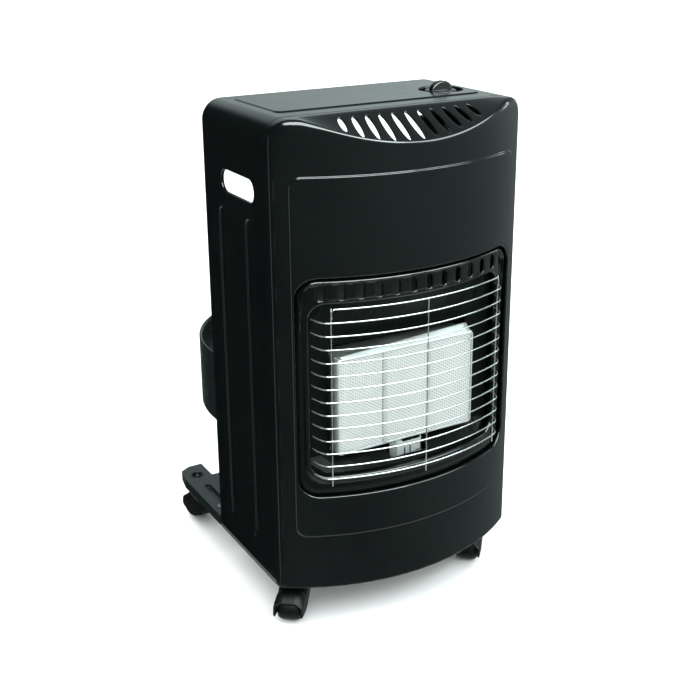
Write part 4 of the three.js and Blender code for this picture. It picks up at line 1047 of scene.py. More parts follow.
            for k in range(1, 9):
                angle = start + (-math.pi - start) * k / 8
                rows.append(row(e + e * np.cos(angle), m + e * np.sin(angle)))
            zero = np.zeros(len(p))
            edge = -cabinet.seam - cabinet.seam_run
            for k in range(1, 7):
                rows.append(row(zero, m + (edge - m) * k / 6))
            rows += [row(zero + inset, zero - cabinet.seam - short) for short, inset in cabinet.seam_steps]
            before = maker.count
            maker.add_rows(ids[part], rows, False, True)
            step = len(p)
            corner = 0 if part.start == 0 else step - 1
            lowest.append([int(before + k * step + corner) for k in range(len(rows))])
        return lowest

    def add_top(self, maker: SheetMaker, ids: np.ndarray, x: np.ndarray, middle: float) -> None:
        """Roll the lip over into the outlet's floor, cut the vents and reach back to the seam.

        Args:
            maker: the sheet so far.
            ids: the numbers of the points along the lip.
            x: where they lie across.
            middle: how deep the middle of the corner's roll lies beside the outlet.
        """
        cabinet = self.cabinet
        slope, lip = self.slope(x), self.lip_radius(x)
        root = np.sqrt(1 + slope ** 2)
        skin = cabinet.skin(x)
        centre_z = cabinet.height - self.drop(x) + slope * lip - lip * root
        end = np.arctan2(1.0, slope)
        rows = [np.stack([x, skin + lip - lip * np.cos(end * k / 8), centre_z + lip * np.sin(end * k / 8)], 1)
                for k in range(1, 9)]
        maker.add_rows(ids, rows, False, True)
        edge = -cabinet.seam - cabinet.seam_run
        front = rows[-1][::-1][:, :2]
        side = np.array([(front[-1, 0], middle + (edge - middle) * k / 6) for k in range(1, 7)])
        rear_x = np.linspace(front[-1, 0], front[0, 0], 71)[1:-1]
        rear = np.stack([rear_x, np.full(len(rear_x), edge)], axis=1)
        border = np.concatenate([front, side, rear, side[::-1] * (-1, 1)])
        ovals = self.vents()
        rims = [grown(oval, self.vent_rim) for oval in ovals]
        fold_x = np.linspace(1 - self.scoop_half, self.scoop_half - 1, 120)
        folds = [np.stack([fold_x, np.full(120, -cabinet.side_depth + share * self.fold_blend)], 1)
                 for share in self.fold_shares]
        folds += [rear[2:-2] - (0.0, gap) for gap in SEAM_LINES]
        border_ids, hole_ids = maker.add_field(border, rims, folds, self.top_pitch, self.top)
        for oval, rim, found in zip(ovals, rims, hole_ids):
            level = self.top(rim)[:, 2]
            steps = [*roll_steps(self.vent_rim, 3), (0.0, self.vent_lip)]
            maker.add_rows(found, [at_level(grown(oval, g), level - d) for g, d in steps], True)
        start = len(front) + len(side) - 1
        rear_ids = border_ids[start: start + len(rear) + 2]
        xs = np.concatenate([[front[-1, 0]], rear_x, [front[0, 0]]])
        tucked = [at_level(np.stack([xs, np.full(len(xs), -cabinet.seam - short)], 1), cabinet.height - inset)
                  for short, inset in cabinet.seam_steps]
        maker.add_rows(rear_ids, tucked, False, True)

    def add_foot(
        self, maker: SheetMaker, border_ids: np.ndarray, arch_count: int, lowest: list[list[int]]
    ) -> None:
        """Fold the panel's bottom edge under, all the way round to the seams.

        Args:
            maker: the sheet so far.
            border_ids: the numbers of the points round the face.
            arch_count: how many of them belong to the arch.
            lowest: for each side, the numbers of the points on its lowest row.
        """
        right, left = lowest
        chain = [*left[::-1][2:], int(border_ids[arch_count - 1]),
                 *[int(k) for k in border_ids[arch_count:]], int(border_ids[0]), *right[:-2]]
        every = np.concatenate(maker.points)
        line = every[chain]
        along = np.gradient(line[:, :2], axis=0)
        along /= np.linalg.norm(along, axis=1)[:, None]
        inner = np.stack([-along[:, 1], along[:, 0]], axis=1)
        rows = []
        for k in range(1, 5):
            angle = math.pi / 2 * k / 4
            shift = self.foot_roll * (1 - math.cos(angle))
            level = np.full(len(line), self.foot_roll * (1 - math.sin(angle)))
            rows.append(np.column_stack([line[:, :2] + inner * shift, level]))
        rows.append(np.column_stack([line[:, :2] + inner * self.foot_flange, np.zeros(len(line))]))
        maker.add_rows(np.array(chain), rows, False, True)

    def assemble(self) -> None:
        """Build the panel and put it in its CAD node's place."""
        stand_in(self.build(), Paint.SATIN, "cabinet", "front_paint", "front_panel")


@dataclass
class CabinetShell:
    """The two sides and the top in one wrap, with ribs, hand holes, raised field and knob well."""

    cabinet: Cabinet = CABINET
    rib_half: float = 13.5
    rib_bottom: float = 57.0
    rib_top: float = 547.0
    rib_depth: float = 2.5
    rib_ramp: tuple[float, float] = (-3.4, 0.4)
    ribs_from_rear: tuple[float, float] = (59.0, 146.0)
    hole_length: float = 105.0
    hole_height: float = 32.0
    hole_from_rear: float = 111.0
    hole_middle: float = 586.0
    hole_roll: float = 3.0
    hole_lip: float = 5.0
    hem: float = 1.0
    field_half: float = 168.0
    field_front: float = 167.0
    field_rear: float = 25.0
    field_corner: float = 12.0
    field_rise: float = 1.5
    field_ramp: tuple[float, float] = (-1.7, 0.2)
    well_x: float = 132.0
    well_from_rear: float = 113.0
    well_radius: float = 33.0
    well_depth: float = 10.0
    well_roll: float = 2.0
    well_floor: float = 28.6
    pitch: tuple[float, float] = (8.0, 5.0)
    field_lines: tuple[float, ...] = (-0.9, -0.2, 0.5, 1.1, 1.7, 2.4)
    rib_lines: tuple[float, ...] = (-1.1, -0.3, 0.6, 1.5, 2.4, 3.4, 4.3)
    bend_lines: int = 13
    bend_ends: float = 4.0

    @property
    def rise(self) -> float:
        """Length of the pattern from the bottom to the shoulder."""
        return self.cabinet.height - self.cabinet.shoulder

    @property
    def bend(self) -> float:
        """Length of the pattern round one shoulder."""
        return self.cabinet.shoulder * math.pi / 2

    @property
    def length(self) -> float:
        """Length of the whole pattern, from the bottom of one side to that of the other."""
        return 2 * (self.rise + self.bend + self.cabinet.half_width - self.cabinet.shoulder)

    def on_side(self, outline: np.ndarray, side: int) -> np.ndarray:
        """Carry a (y, z) outline onto the pattern of one side."""
        run = outline[:, 1] if side > 0 else self.length - outline[:, 1]
        return counter_clockwise(np.stack([run, outline[:, 0]], axis=1))

    def on_top(self, outline: np.ndarray) -> np.ndarray:
        """Carry an (x, y) outline onto the pattern of the top."""
        run = self.length / 2 - outline[:, 0]
        return counter_clockwise(np.stack([run, outline[:, 1]], axis=1))

    def place(self, flat: np.ndarray, inset: np.ndarray) -> np.ndarray:
        """Wrap flat points round the cabinet.

        Args:
            flat: the (run, y) points of the pattern.
            inset: how far inside the outer skin each of them lies.

        Returns:
            The points in space.
        """
        run = np.minimum(flat[:, 0], self.length - flat[:, 0])
        side = np.where(flat[:, 0] > self.length / 2, -1.0, 1.0)
        cabinet = self.cabinet
        angle = np.clip((run - self.rise) / cabinet.shoulder, 0, math.pi / 2)
        over = np.clip(run - self.rise - self.bend, 0, None)
        radius = cabinet.shoulder - inset
        x = cabinet.half_width - cabinet.shoulder + radius * np.cos(angle) - over
        z = np.minimum(run, self.rise) + radius * np.sin(angle)
        return np.stack([x * side, flat[:, 1], z], axis=1)

    def pressed(self, flat: np.ndarray) -> np.ndarray:
        """Press the ribs into the sides and the field out of the top.

        Args:
            flat: the (run, y) points of the pattern.

        Returns:
            How far inside the outer skin each of them lies.
        """
        run = np.minimum(flat[:, 0], self.length - flat[:, 0])
        height = np.stack([flat[:, 1], run], axis=1)
        inset = np.zeros(len(flat))
        for rear in self.ribs_from_rear:
            away = rounded_distance(height, -rear - self.rib_half, -rear + self.rib_half, self.rib_bottom,
                                    self.rib_top, self.rib_half - SLACK)
            inset += self.rib_depth * (1 - smooth_step(away, *self.rib_ramp))
        across = np.stack([self.length / 2 - flat[:, 0], flat[:, 1]], axis=1)
        away = rounded_distance(across, -self.field_half, self.field_half, -self.field_front,
                                -self.field_rear, self.field_corner)
        return inset - self.field_rise * (1 - smooth_step(away, *self.field_ramp))

    def surface(self, flat: np.ndarray) -> np.ndarray:
        """Lay flat points on the pressed skin."""
        return self.place(flat, self.pressed(flat))

    def build(self) -> bpy.types.Object:
        """Press the whole shell as one sheet.

        Returns:
            The shell.
        """
        maker = SheetMaker()
        cabinet = self.cabinet
        front, rear = -cabinet.seam + cabinet.seam_gap + cabinet.seam_run, -self.hem
        runs = np.concatenate([
            np.linspace(0, self.rise, 70)[:-1],
            np.linspace(self.rise, self.rise + self.bend, 14)[:-1],
            np.linspace(self.rise + self.bend, self.length - self.rise - self.bend, 60)[:-1],
            np.linspace(self.length - self.rise - self.bend, self.length - self.rise, 14)[:-1],
            np.linspace(self.length - self.rise, self.length, 70)])
        depths = np.linspace(front, rear, 34)[1:-1]
        front_path = np.stack([runs, np.full(len(runs), front)], axis=1)
        rear_path = np.stack([runs[::-1], np.full(len(runs), rear)], axis=1)
        border = np.concatenate([front_path, np.stack([np.full(32, self.length), depths], 1), rear_path,
                                 np.stack([np.zeros(32), depths[::-1]], 1)])
        reach, rise = self.hole_length / 2, self.hole_height / 2
        hole = rounded_outline(-self.hole_from_rear - reach, -self.hole_from_rear + reach,
                               self.hole_middle - rise, self.hole_middle + rise, rise - SLACK, 5.0, 10)
        sides = [self.on_side(hole, side) for side in (1, -1)]
        well = self.on_top(circle(self.well_x, -self.well_from_rear, self.well_radius, full_turn(56)))
        holes = [*[grown(side, self.hole_roll) for side in sides], grown(well, self.well_roll)]
        raised = rounded_outline(-self.field_half, self.field_half, -self.field_front, -self.field_rear,
                                 self.field_corner, 4.0, 8)
        creases = [self.on_top(grown(raised, -g)) for g in self.field_lines]
        for rear_gap in self.ribs_from_rear:
            rib = rounded_outline(-rear_gap - self.rib_half, -rear_gap + self.rib_half, self.rib_bottom,
                                  self.rib_top, self.rib_half - SLACK, 6.0, 12)
            for g in self.rib_lines:
                creases += [self.on_side(grown(rib, -g), side) for side in (1, -1)]
        bends = [self.rise + self.bend * k / (self.bend_lines - 1) for k in range(self.bend_lines)]
        across = np.linspace(front + self.bend_ends, rear - self.bend_ends, 60)
        for bend in [*bends, *[self.length - b for b in bends]]:
            creases.append(np.stack([np.full(60, bend), across], axis=1))
        near, far = SEAM_LINES
        for level in (front + near, front + far, rear - far, rear - near):
            creases.append(np.stack([runs[1:-1], np.full(len(runs) - 2, level)], axis=1))
        border_ids, hole_ids = maker.add_field(border, holes, creases, self.pitch, self.surface, True)
        for flat, found in zip(sides, hole_ids[:2]):
            rows = [self.place(grown(flat, g), np.full(len(flat), d)) for g, d in roll_steps(self.hole_roll)]
            rows.append(self.place(flat, np.full(len(flat), self.hole_lip)))
            rows.append(self.place(grown(flat, 0.8), np.full(len(flat), self.hole_lip + 0.6)))
            maker.add_rows(found, rows, True, True)
        roll, floor = self.well_roll, self.well_depth
        steps = [(roll * (1 - math.sin(a)), -self.field_rise + roll * (1 - math.cos(a)))
                 for a in np.linspace(0.3, math.pi / 2, 5)]
        steps += [(0.0, floor - 2.5), (-0.6, floor - 0.8), (-2.4, floor), (-12.0, floor),
                  (-self.well_floor, floor), (-self.well_floor - 0.1, floor + cabinet.sheet)]
        rows = [self.place(grown(well, g), np.full(len(well), d)) for g, d in steps]
        maker.add_rows(hole_ids[2], rows, True, True)
        n = len(runs)
        start = -cabinet.seam + cabinet.seam_gap
        seam = [self.place(np.stack([runs, np.full(n, start + short)], 1), np.full(n, inset))
                for short, inset in cabinet.seam_steps]
        maker.add_rows(border_ids[:n], seam, False)
        hem = [self.place(np.stack([runs[::-1], np.full(n, y)], 1), np.full(n, d))
               for y, d in ((-0.3, 0.3), (0.0, 1.0), (0.0, 2.3))]
        maker.add_rows(border_ids[n + 32: 2 * n + 32], hem, False)
        return maker.build("cabinet_wrap", cabinet.sheet)

    def assemble(self) -> None:
        """Build the shell and put it in its CAD node's place."""
        stand_in(self.build(), Paint.SATIN, "cabinet", "cabinet_paint", "cabinet_shell")


@dataclass
class Surround:
    """The gloss surround in the window, with its rim, slots and rolled throat."""

    cabinet: Cabinet = CABINET
    half: float = 178.5
    bottom: float = 150.5
    top: float = 477.5
    corner: float = 29.5
    face_inset: float = 6.0
    rim_rise: float = 0.9
    rim_rise_top: float = 5.6
    rim_centre: float = 6.2
    rim_outer: float = 5.2
    rim_inner: float = 3.4
    open_half: float = 158.0
    open_bottom: float = 178.0
    open_top: float = 438.0
    open_corner: float = 22.0
    throat_roll: float = 4.0
    throat: float = 14.0
    bead_away: float = 7.0
    bead_half: float = 2.6
    bead_rise: float = 1.4
    bead_fades: tuple[float, float] = (250.0, 400.0)
    rim_grows: tuple[float, float] = (380.0, 455.0)
    hem_roll: float = 0.8
    slot_count: int = 12
    slot_width: float = 9.0
    slot_pitch: float = 26.0
    slot_bottom: float = 444.0
    slot_top: float = 466.0
    slot_roll: float = 1.4
    slot_depth: float = 4.0
    flange: float = 6.0
    pitch: tuple[float, float] = (4.5, 5.0)
    rim_lines: tuple[float, ...] = (1.5, 2.3, 3.1, 3.9, 4.7, 5.5, 6.2, 7.0, 7.8, 8.7, 9.6)

    def face(self, flat: np.ndarray) -> np.ndarray:
        """Lay points on the set-back face, with its rim and its bead.

        Args:
            flat: the (x, z) points.

        Returns:
            The points in space.
        """
        edge = rounded_distance(flat, -self.half, self.half, self.bottom, self.top, self.corner)
        mouth = rounded_distance(flat, -self.open_half, self.open_half, self.open_bottom, self.open_top,
                                 self.open_corner)
        rim = edge + self.rim_centre
        rim = np.clip(np.where(rim > 0, rim / self.rim_outer, rim / self.rim_inner), -1, 1)
        bead = np.clip((mouth - self.bead_away) / self.bead_half, -1, 1)
        fade = 1 - smooth_step(flat[:, 1], *self.bead_fades)
        rise = self.rim_rise + (self.rim_rise_top - self.rim_rise) * smooth_step(flat[:, 1], *self.rim_grows)
        raised = (rise * (0.5 + 0.5 * np.cos(math.pi * rim))
                  + self.bead_rise * fade * (0.5 + 0.5 * np.cos(math.pi * bead)))
        return at_depth(flat, self.cabinet.skin(flat[:, 0], self.face_inset) - raised)

    def rows_into(self, outline: np.ndarray, roll: float, depth: float) -> list[np.ndarray]:
        """Roll an opening's edge back to a depth.

        Args:
            outline: the opening.
            roll: the radius of the rolled edge.
            depth: how far back it reaches.

        Returns:
            The rows of points, from the face backwards.
        """
        face = self.face(grown(outline, roll))[:, 1]
        rows = [at_depth(grown(outline, g), face + d) for g, d in roll_steps(roll, 4)]
        return [*rows, back_from(rows[-1], depth - roll)]

    def build(self) -> bpy.types.Object:
        """Press the surround as one sheet.

        Returns:
            The surround.
        """
        maker = SheetMaker()
        outline = rounded_outline(-self.half, self.half, self.bottom, self.top, self.corner, 5.0, 10)
        border = grown(outline, -self.hem_roll)
        mouth = rounded_outline(-self.open_half, self.open_half, self.open_bottom, self.open_top,
                                self.open_corner, 5.0, 10)
        slots = []
        for k in range(self.slot_count):
            x = (k - (self.slot_count - 1) / 2) * self.slot_pitch
            slots.append(rounded_outline(x - self.slot_width / 2, x + self.slot_width / 2, self.slot_bottom,
                                         self.slot_top, self.slot_width / 2 - SLACK, 4.0, 6))
        holes = [grown(mouth, self.throat_roll), *[grown(s, self.slot_roll) for s in slots]]
        creases = [grown(outline, -g) for g in self.rim_lines]
        creases += [grown(mouth, self.bead_away + g) for g in np.linspace(-self.bead_half, self.bead_half, 5)]
        border_ids, hole_ids = maker.add_field(border, holes, creases, self.pitch, self.face)
        maker.add_rows(hole_ids[0], self.rows_into(mouth, self.throat_roll, self.throat), True)
        for slot, found in zip(slots, hole_ids[1:]):
            maker.add_rows(found, self.rows_into(slot, self.slot_roll, self.slot_depth), True)
        face = self.face(border)
        back = at_depth(outline, face[:, 1] + 0.9)
        maker.add_rows(border_ids, [back, back_from(back, self.flange)], True, True)
        return maker.build("window_surround", self.cabinet.sheet)

    def assemble(self) -> None:
        """Build the surround and put it in its CAD node's place."""
        stand_in(self.build(), Paint.ENAMEL, "cabinet", "surround_enamel", "burner_surround")


@dataclass
class WireGuard:
    """The chromed guard: bowed cross wires welded to three uprights."""

    cabinet: Cabinet = CABINET
    standoff: float = 12.0
    wire_radius: float = 1.12
    wires: int = 14
    bottom: float = 184.0
    pitch: float = 19.5
    end_half: float = 155.8
    hook_depth: float = 24.0
    hook_power: float = 1.1
    hook_lean: float = 0.45
    top_bend: float = 5.0
    top_ends: tuple[float, float] = (4.0, 9.0)
    straight_half: float = 143.0
    upright_radius: float = 0.85
    upright_half: float = 140.0
    upright_bottom: float = 172.0
    bite: float = 0.6

    def cross_wire(self, level: float) -> np.ndarray:
        """Trace one wire along the bulge, hooked back into the surround's throat at both ends.

        Args:
            level: its height.

        Returns:
            The points of its middle line.
        """
        inner = list(np.linspace(-self.straight_half, self.straight_half, 29))
        reach = self.end_half - self.straight_half
        turns = [math.pi / 2 * k / 8 for k in range(1, 9)]
        hook = [(self.straight_half + reach * math.sin(a),
                 self.hook_depth * (1 - math.cos(a)) ** self.hook_power) for a in turns]
        flat = [*[(-x, d) for x, d in reversed(hook)], *[(x, 0.0) for x in inner], *hook]
        x = np.array([point[0] for point in flat])
        back = np.array([point[1] for point in flat])
        y = self.cabinet.skin(np.clip(x, -self.straight_half, self.straight_half), -self.standoff) + back
        lean = np.clip(np.abs(x) - self.straight_half, 0, None) * self.hook_lean
        return np.stack([x, y + lean, np.full(len(x), level)], axis=1)

    def top_wire(self, level: float) -> np.ndarray:
        """Trace the top wire, which turns down along both outer uprights.

        Args:
            level: its height.

        Returns:
            The points of its middle line.
        """
        bend = self.top_bend
        turns = [math.pi / 2 * k / 6 for k in range(7)]
        corner = [(self.upright_half - bend + bend * math.sin(a), level - bend + bend * math.cos(a))
                  for a in turns]
        down = [(self.upright_half, level - bend - end) for end in self.top_ends]
        xs = np.linspace(-self.upright_half + bend, self.upright_half - bend, 27)[1:-1]
        right = [*corner, *down]
        flat = [*[(-x, z) for x, z in reversed(right)], *[(x, level) for x in xs], *right]
        x, z = np.array(flat).T
        return np.column_stack([x, self.cabinet.skin(x, -self.standoff), z])

    def build(self) -> bpy.types.Object:
        """Draw every wire as a round bar in one mesh.

        Returns:
            The guard.
        """
        maker = SheetMaker()
        top = self.bottom + (self.wires - 1) * self.pitch
        for k in range(self.wires - 1):
            maker.add_bar(self.cross_wire(self.bottom + k * self.pitch), self.wire_radius)
        maker.add_bar(self.top_wire(top), self.wire_radius)
        for side in (-1, 0, 1):
            x = side * self.upright_half
            y = (self.cabinet.skin(np.array([x]), -self.standoff)[0] + self.wire_radius
                 + self.upright_radius - self.bite)
            levels = np.linspace(self.upright_bottom, top + self.wire_radius, 8)
            maker.add_bar(np.stack([np.full(8, x), np.full(8, y), levels], 1), self.upright_radius)
        return maker.build("guard_wires", crease=60.0)

    def assemble(self) -> None:
        """Build the guard and put it in its CAD node's place."""
        stand_in(self.build(), Paint.CHROME, "cabinet", "guard_chrome", "guard_grille")


@dataclass
class BurnerFace:
    """The pan that holds the three plaques: thin borders, rolled edges and a sloped lip."""

    half: float = 117.0
    bottom: float = 202.0
    top: float = 350.5
    front: float = -233.5
    rear: float = -215.5
    corner: float = 6.0
    roll: float = 2.4
    window_half: float = 35.9
    window_pitch: float = 77.6
    window_bottom: float = 206.0
    window_top: float = 348.0
    window_corner: float = 3.0
    window_roll: float = 0.9
    lip_top: float = 359.0
    lip_bite: float = 0.9
    lip_sink: float = 0.4
    lip_rear: float = -220.0
    lip_mitre: float = 5.0
    lip_start: float = 0.2
    sheet: float = 1.2

    def lay(self, flat: np.ndarray) -> np.ndarray:
        """Lay (x, z) points on the pan's flat front."""
        return at_depth(flat, self.front)

    def build(self) -> bpy.types.Object:
        """Press the pan and its lip as one sheet.

        Returns:
            The pan.
        """
        maker = SheetMaker()
        outline = rounded_outline(-self.half, self.half, self.bottom, self.top, self.corner, 5.0, 8)
        border = grown(outline, -self.roll)
        windows = [rounded_outline(x - self.window_half, x + self.window_half, self.window_bottom,
                                   self.window_top, self.window_corner, 6.0, 5)
                   for x in (-self.window_pitch, 0.0, self.window_pitch)]
        border_ids, hole_ids = maker.add_field(border, [grown(w, self.window_roll) for w in windows], [],
                                               (9.0, 9.0), self.lay)
        for window, found in zip(windows, hole_ids):
            rows = [back_from(self.lay(grown(window, g)), d) for g, d in roll_steps(self.window_roll, 3)]
            maker.add_rows(found, rows, True)
        roll = self.roll
        sides = [back_from(self.lay(grown(outline, -roll * (1 - math.sin(a)))), roll * (1 - math.cos(a)))
                 for a in np.linspace(0.25, math.pi / 2, 5)]
        sides.append(back_from(sides[-1], self.rear - self.front - roll))
        maker.add_rows(border_ids, sides, True, True)
        xs = np.linspace(-self.half + self.corner, self.half - self.corner, 30)
        share = xs / xs[-1]
        root, level = self.front + self.lip_bite, self.top - self.lip_sink
        front = np.column_stack([xs, np.full(30, root), np.full(30, level)])
        rear_x = share * (self.half - self.lip_mitre)
        taper = self.lip_start + (1 - self.lip_start) * (share + 1) / 2
        rear = np.column_stack([rear_x, root + (self.lip_rear - root) * taper,
                                level + (self.lip_top - level) * taper])
        first = maker.add_points(front)
        steps = [front + (rear - front) * t for t in (0.03, 0.25, 0.5, 0.75, 0.97)]
        hem = [rear + (0.0, 0.4, 0.25), rear + (0.0, 1.4, -0.6), rear + (0.0, 1.4, -11.0)]
        maker.add_rows(first, [*steps, *hem], False, True)
        return maker.build("burner_face", self.sheet, crease=38.0)

    def assemble(self) -> None:
        """Build the pan and put it in its CAD node's place."""
        stand_in(self.build(), Paint.STEEL, "cabinet", "burner_steel", "burner_frame")


@dataclass
class CylinderHoop:
    """The sheet hoop round the gas bottle, with rolled rims and its two hinge tabs."""

    radius: float = 200.0
    centre: float = 25.0
    arm_start: float = 0.3
    bottom: float = 182.0
    top: float = 297.0
    sheet: float = 1.5
    bead: float = 5.0
    tab_radius: float = 18.0
    tab_reach: float = 6.0
    tab_half: float = 26.0
    pivot: tuple[float, float] = (-14.0, 239.5)
    eye: float = 3.2

    def section(self) -> np.ndarray:
        """Draw the hoop's section, with a rolled bead on each rim.

        Returns:
            Its (outwards, up) points.
        """
        half = (self.top - self.bottom) / 2
        b, t = self.bead, self.sheet
        bead_shares = [(0.0, 1.0), (0.0, 0.42), (0.12, 0.14), (0.42, 0.0), (0.72, 0.12), (1.0, 0.45),
                       (0.86, 0.8), (0.5, 1.0)]
        rim = [*[(-u * b, half - v * b) for u, v in bead_shares], (-t, half - 1.25 * b)]
        under = [(u, -v) for u, v in rim[::-1]]
        level = 0.7 * half
        inner = [(-t, level), (-t, 0.0), (-t, -level)]
        outer = [(0.0, -level), (0.0, 0.0), (0.0, level)]
        return np.array([*rim, *inner, *under, *outer])

    def add_tab(self, maker: SheetMaker, side: int, outline: np.ndarray, hole: np.ndarray) -> None:
        """Add one hinge tab, a flat plate with an eye, in line with the hoop's arm.

        Args:
            maker: the hoop so far.
            side: -1 for the left and 1 for the right.
            outline: the tab's (y, z) outline.
            hole: the eye's.
        """
        def lay(depth: float) -> Surface:
            """Give the surface that lies some way inside the hoop's outer skin."""
            return lambda flat: np.column_stack([np.full(len(flat), side * (self.radius - depth)), flat])

        edge, (eye,) = maker.add_field(outline, [hole], [], (5.0, 5.0), lay(0.0), side < 0)
        maker.add_field(outline, [hole], [], (5.0, 5.0), lay(self.sheet), side > 0)
        maker.add_rows(edge, [lay(self.sheet)(outline)], True, side < 0)
        maker.add_rows(eye, [lay(self.sheet)(hole)], True, side > 0)

    def build(self) -> bpy.types.Object:
        """Roll the hoop and add its tabs.

        Returns:
            The hoop.
        """
        maker = SheetMaker()
        arc = circle(0.0, self.centre, self.radius, np.linspace(0, math.pi, 97))
        legs = np.linspace(self.arm_start, self.centre, 5)[:-1]
        plan = np.concatenate([np.stack([np.full(4, self.radius), legs], 1), arc,
                               np.stack([np.full(4, -self.radius), legs[::-1]], 1)])
        level = (self.top + self.bottom) / 2
        maker.add_sweep(at_level(plan, level), self.section(), np.array([0.0, 0.0, 1.0]))
        y, z = self.pivot
        nose = circle(y, z, self.tab_radius, np.linspace(math.pi / 2, 3 * math.pi / 2, 21))
        root = np.array([(self.tab_reach, z - self.tab_half), (self.tab_reach, z + self.tab_half)])
        outline = counter_clockwise(np.concatenate([nose, root]))
        for side in (-1, 1):
            self.add_tab(maker, side, outline, circle(y, z, self.eye, full_turn(20)))
        return maker.build("bottle_hoop")

    def assemble(self) -> None:
        """Build the hoop and put it in its CAD node's place."""
        stand_in(self.build(), Paint.RAIL, "hoop", "frame_paint", "cylinder_hoop")


@dataclass
class Knob:
    """The pressed-and-turned control knob: a round skirt and a half-moon grip."""

    centre: tuple[float, float] = (132.0, -113.0)
    base: float = 685.0
    skirt_radius: float = 24.0
    skirt_height: float = 7.0
    grip_half: float = 20.5
    grip_top: float = 705.0
    grip_width: float = 11.5
    turn: float = 8.0
    tooth_share: float = 0.010
    teeth: int = 32
    grip_sunk: float = 3.0
    grip_foot: float = 0.8
    grip_edge: float = 2.6

    def add_skirt(self, maker: SheetMaker) -> None:
        """Turn the skirt, with fine teeth round it.

        Args:
            maker: the knob so far.
        """
        r, h = self.skirt_radius, self.skirt_height
        profile = [(SLACK, 0.0), (r - 1.5, 0.0), (r - 0.4, 0.5), (r, 1.6), (r - 0.3, h - 2.2),
                   (r - 1.1, h - 0.7), (r - 2.6, h), (r - 7.0, h + 0.5), (SLACK, h + 0.8)]
        angles = full_turn(2 * self.teeth)
        rings = []
        for number, (radius, level) in enumerate(profile):
            toothed = radius * (1 + self.tooth_share * np.cos(angles * self.teeth) * (2 <= number <= 5))
            rings.append(at_level(circle(0.0, 0.0, toothed, angles), level))
        maker.add_rows(maker.add_points(rings[0]), rings[1:], True)

    def add_grip(self, maker: SheetMaker) -> None:
        """Mould the half-moon grip on the skirt.

        Args:
            maker: the knob so far.
        """
        bottom = self.skirt_height - self.grip_sunk
        arc = [math.pi / 2 * k / 5 for k in range(6)]
        sections = []
        for t in np.linspace(-1, 1, 33):
            along = self.grip_half * math.sin(t * math.pi / 2)
            rise = (self.grip_top - self.base - bottom) * max(0.03, math.cos(t * math.pi / 2)) ** 0.9
            half = self.grip_width / 2 * max(0.30, math.cos(t * math.pi / 2)) ** 0.22
            edge = min(self.grip_edge, rise * 0.5, half * 0.6)
            right = [(half + self.grip_foot, bottom)]
            right += [(half - edge + edge * math.cos(a), bottom + rise - edge + edge * math.sin(a))
                      for a in arc]
            ring = [*right, *[(-x, z) for x, z in right[::-1]]]
            sections.append(np.array([(along, x, z) for x, z in ring]))
        first = maker.add_points(sections[0])
        last = maker.add_rows(first, sections[1:], True)
        maker.faces.append(tuple(int(k) for k in first[::-1]))
        maker.faces.append(tuple(int(k) for k in last))

    def build(self) -> bpy.types.Object:
        """Make the skirt and the grip, and turn both to where the knob points.

        Returns:
            The knob.
        """
        maker = SheetMaker()
        self.add_skirt(maker)
        self.add_grip(maker)
        maker.points = [turned(points, self.turn) + (*self.centre, self.base) for points in maker.points]
        return face_outwards(maker.build("control_grip", crease=45.0))

    def assemble(self) -> None:
        """Build the knob and put it in its CAD node's place."""
        stand_in(self.build(), Paint.KNOB, "knob", "black_plastic", "control_knob")


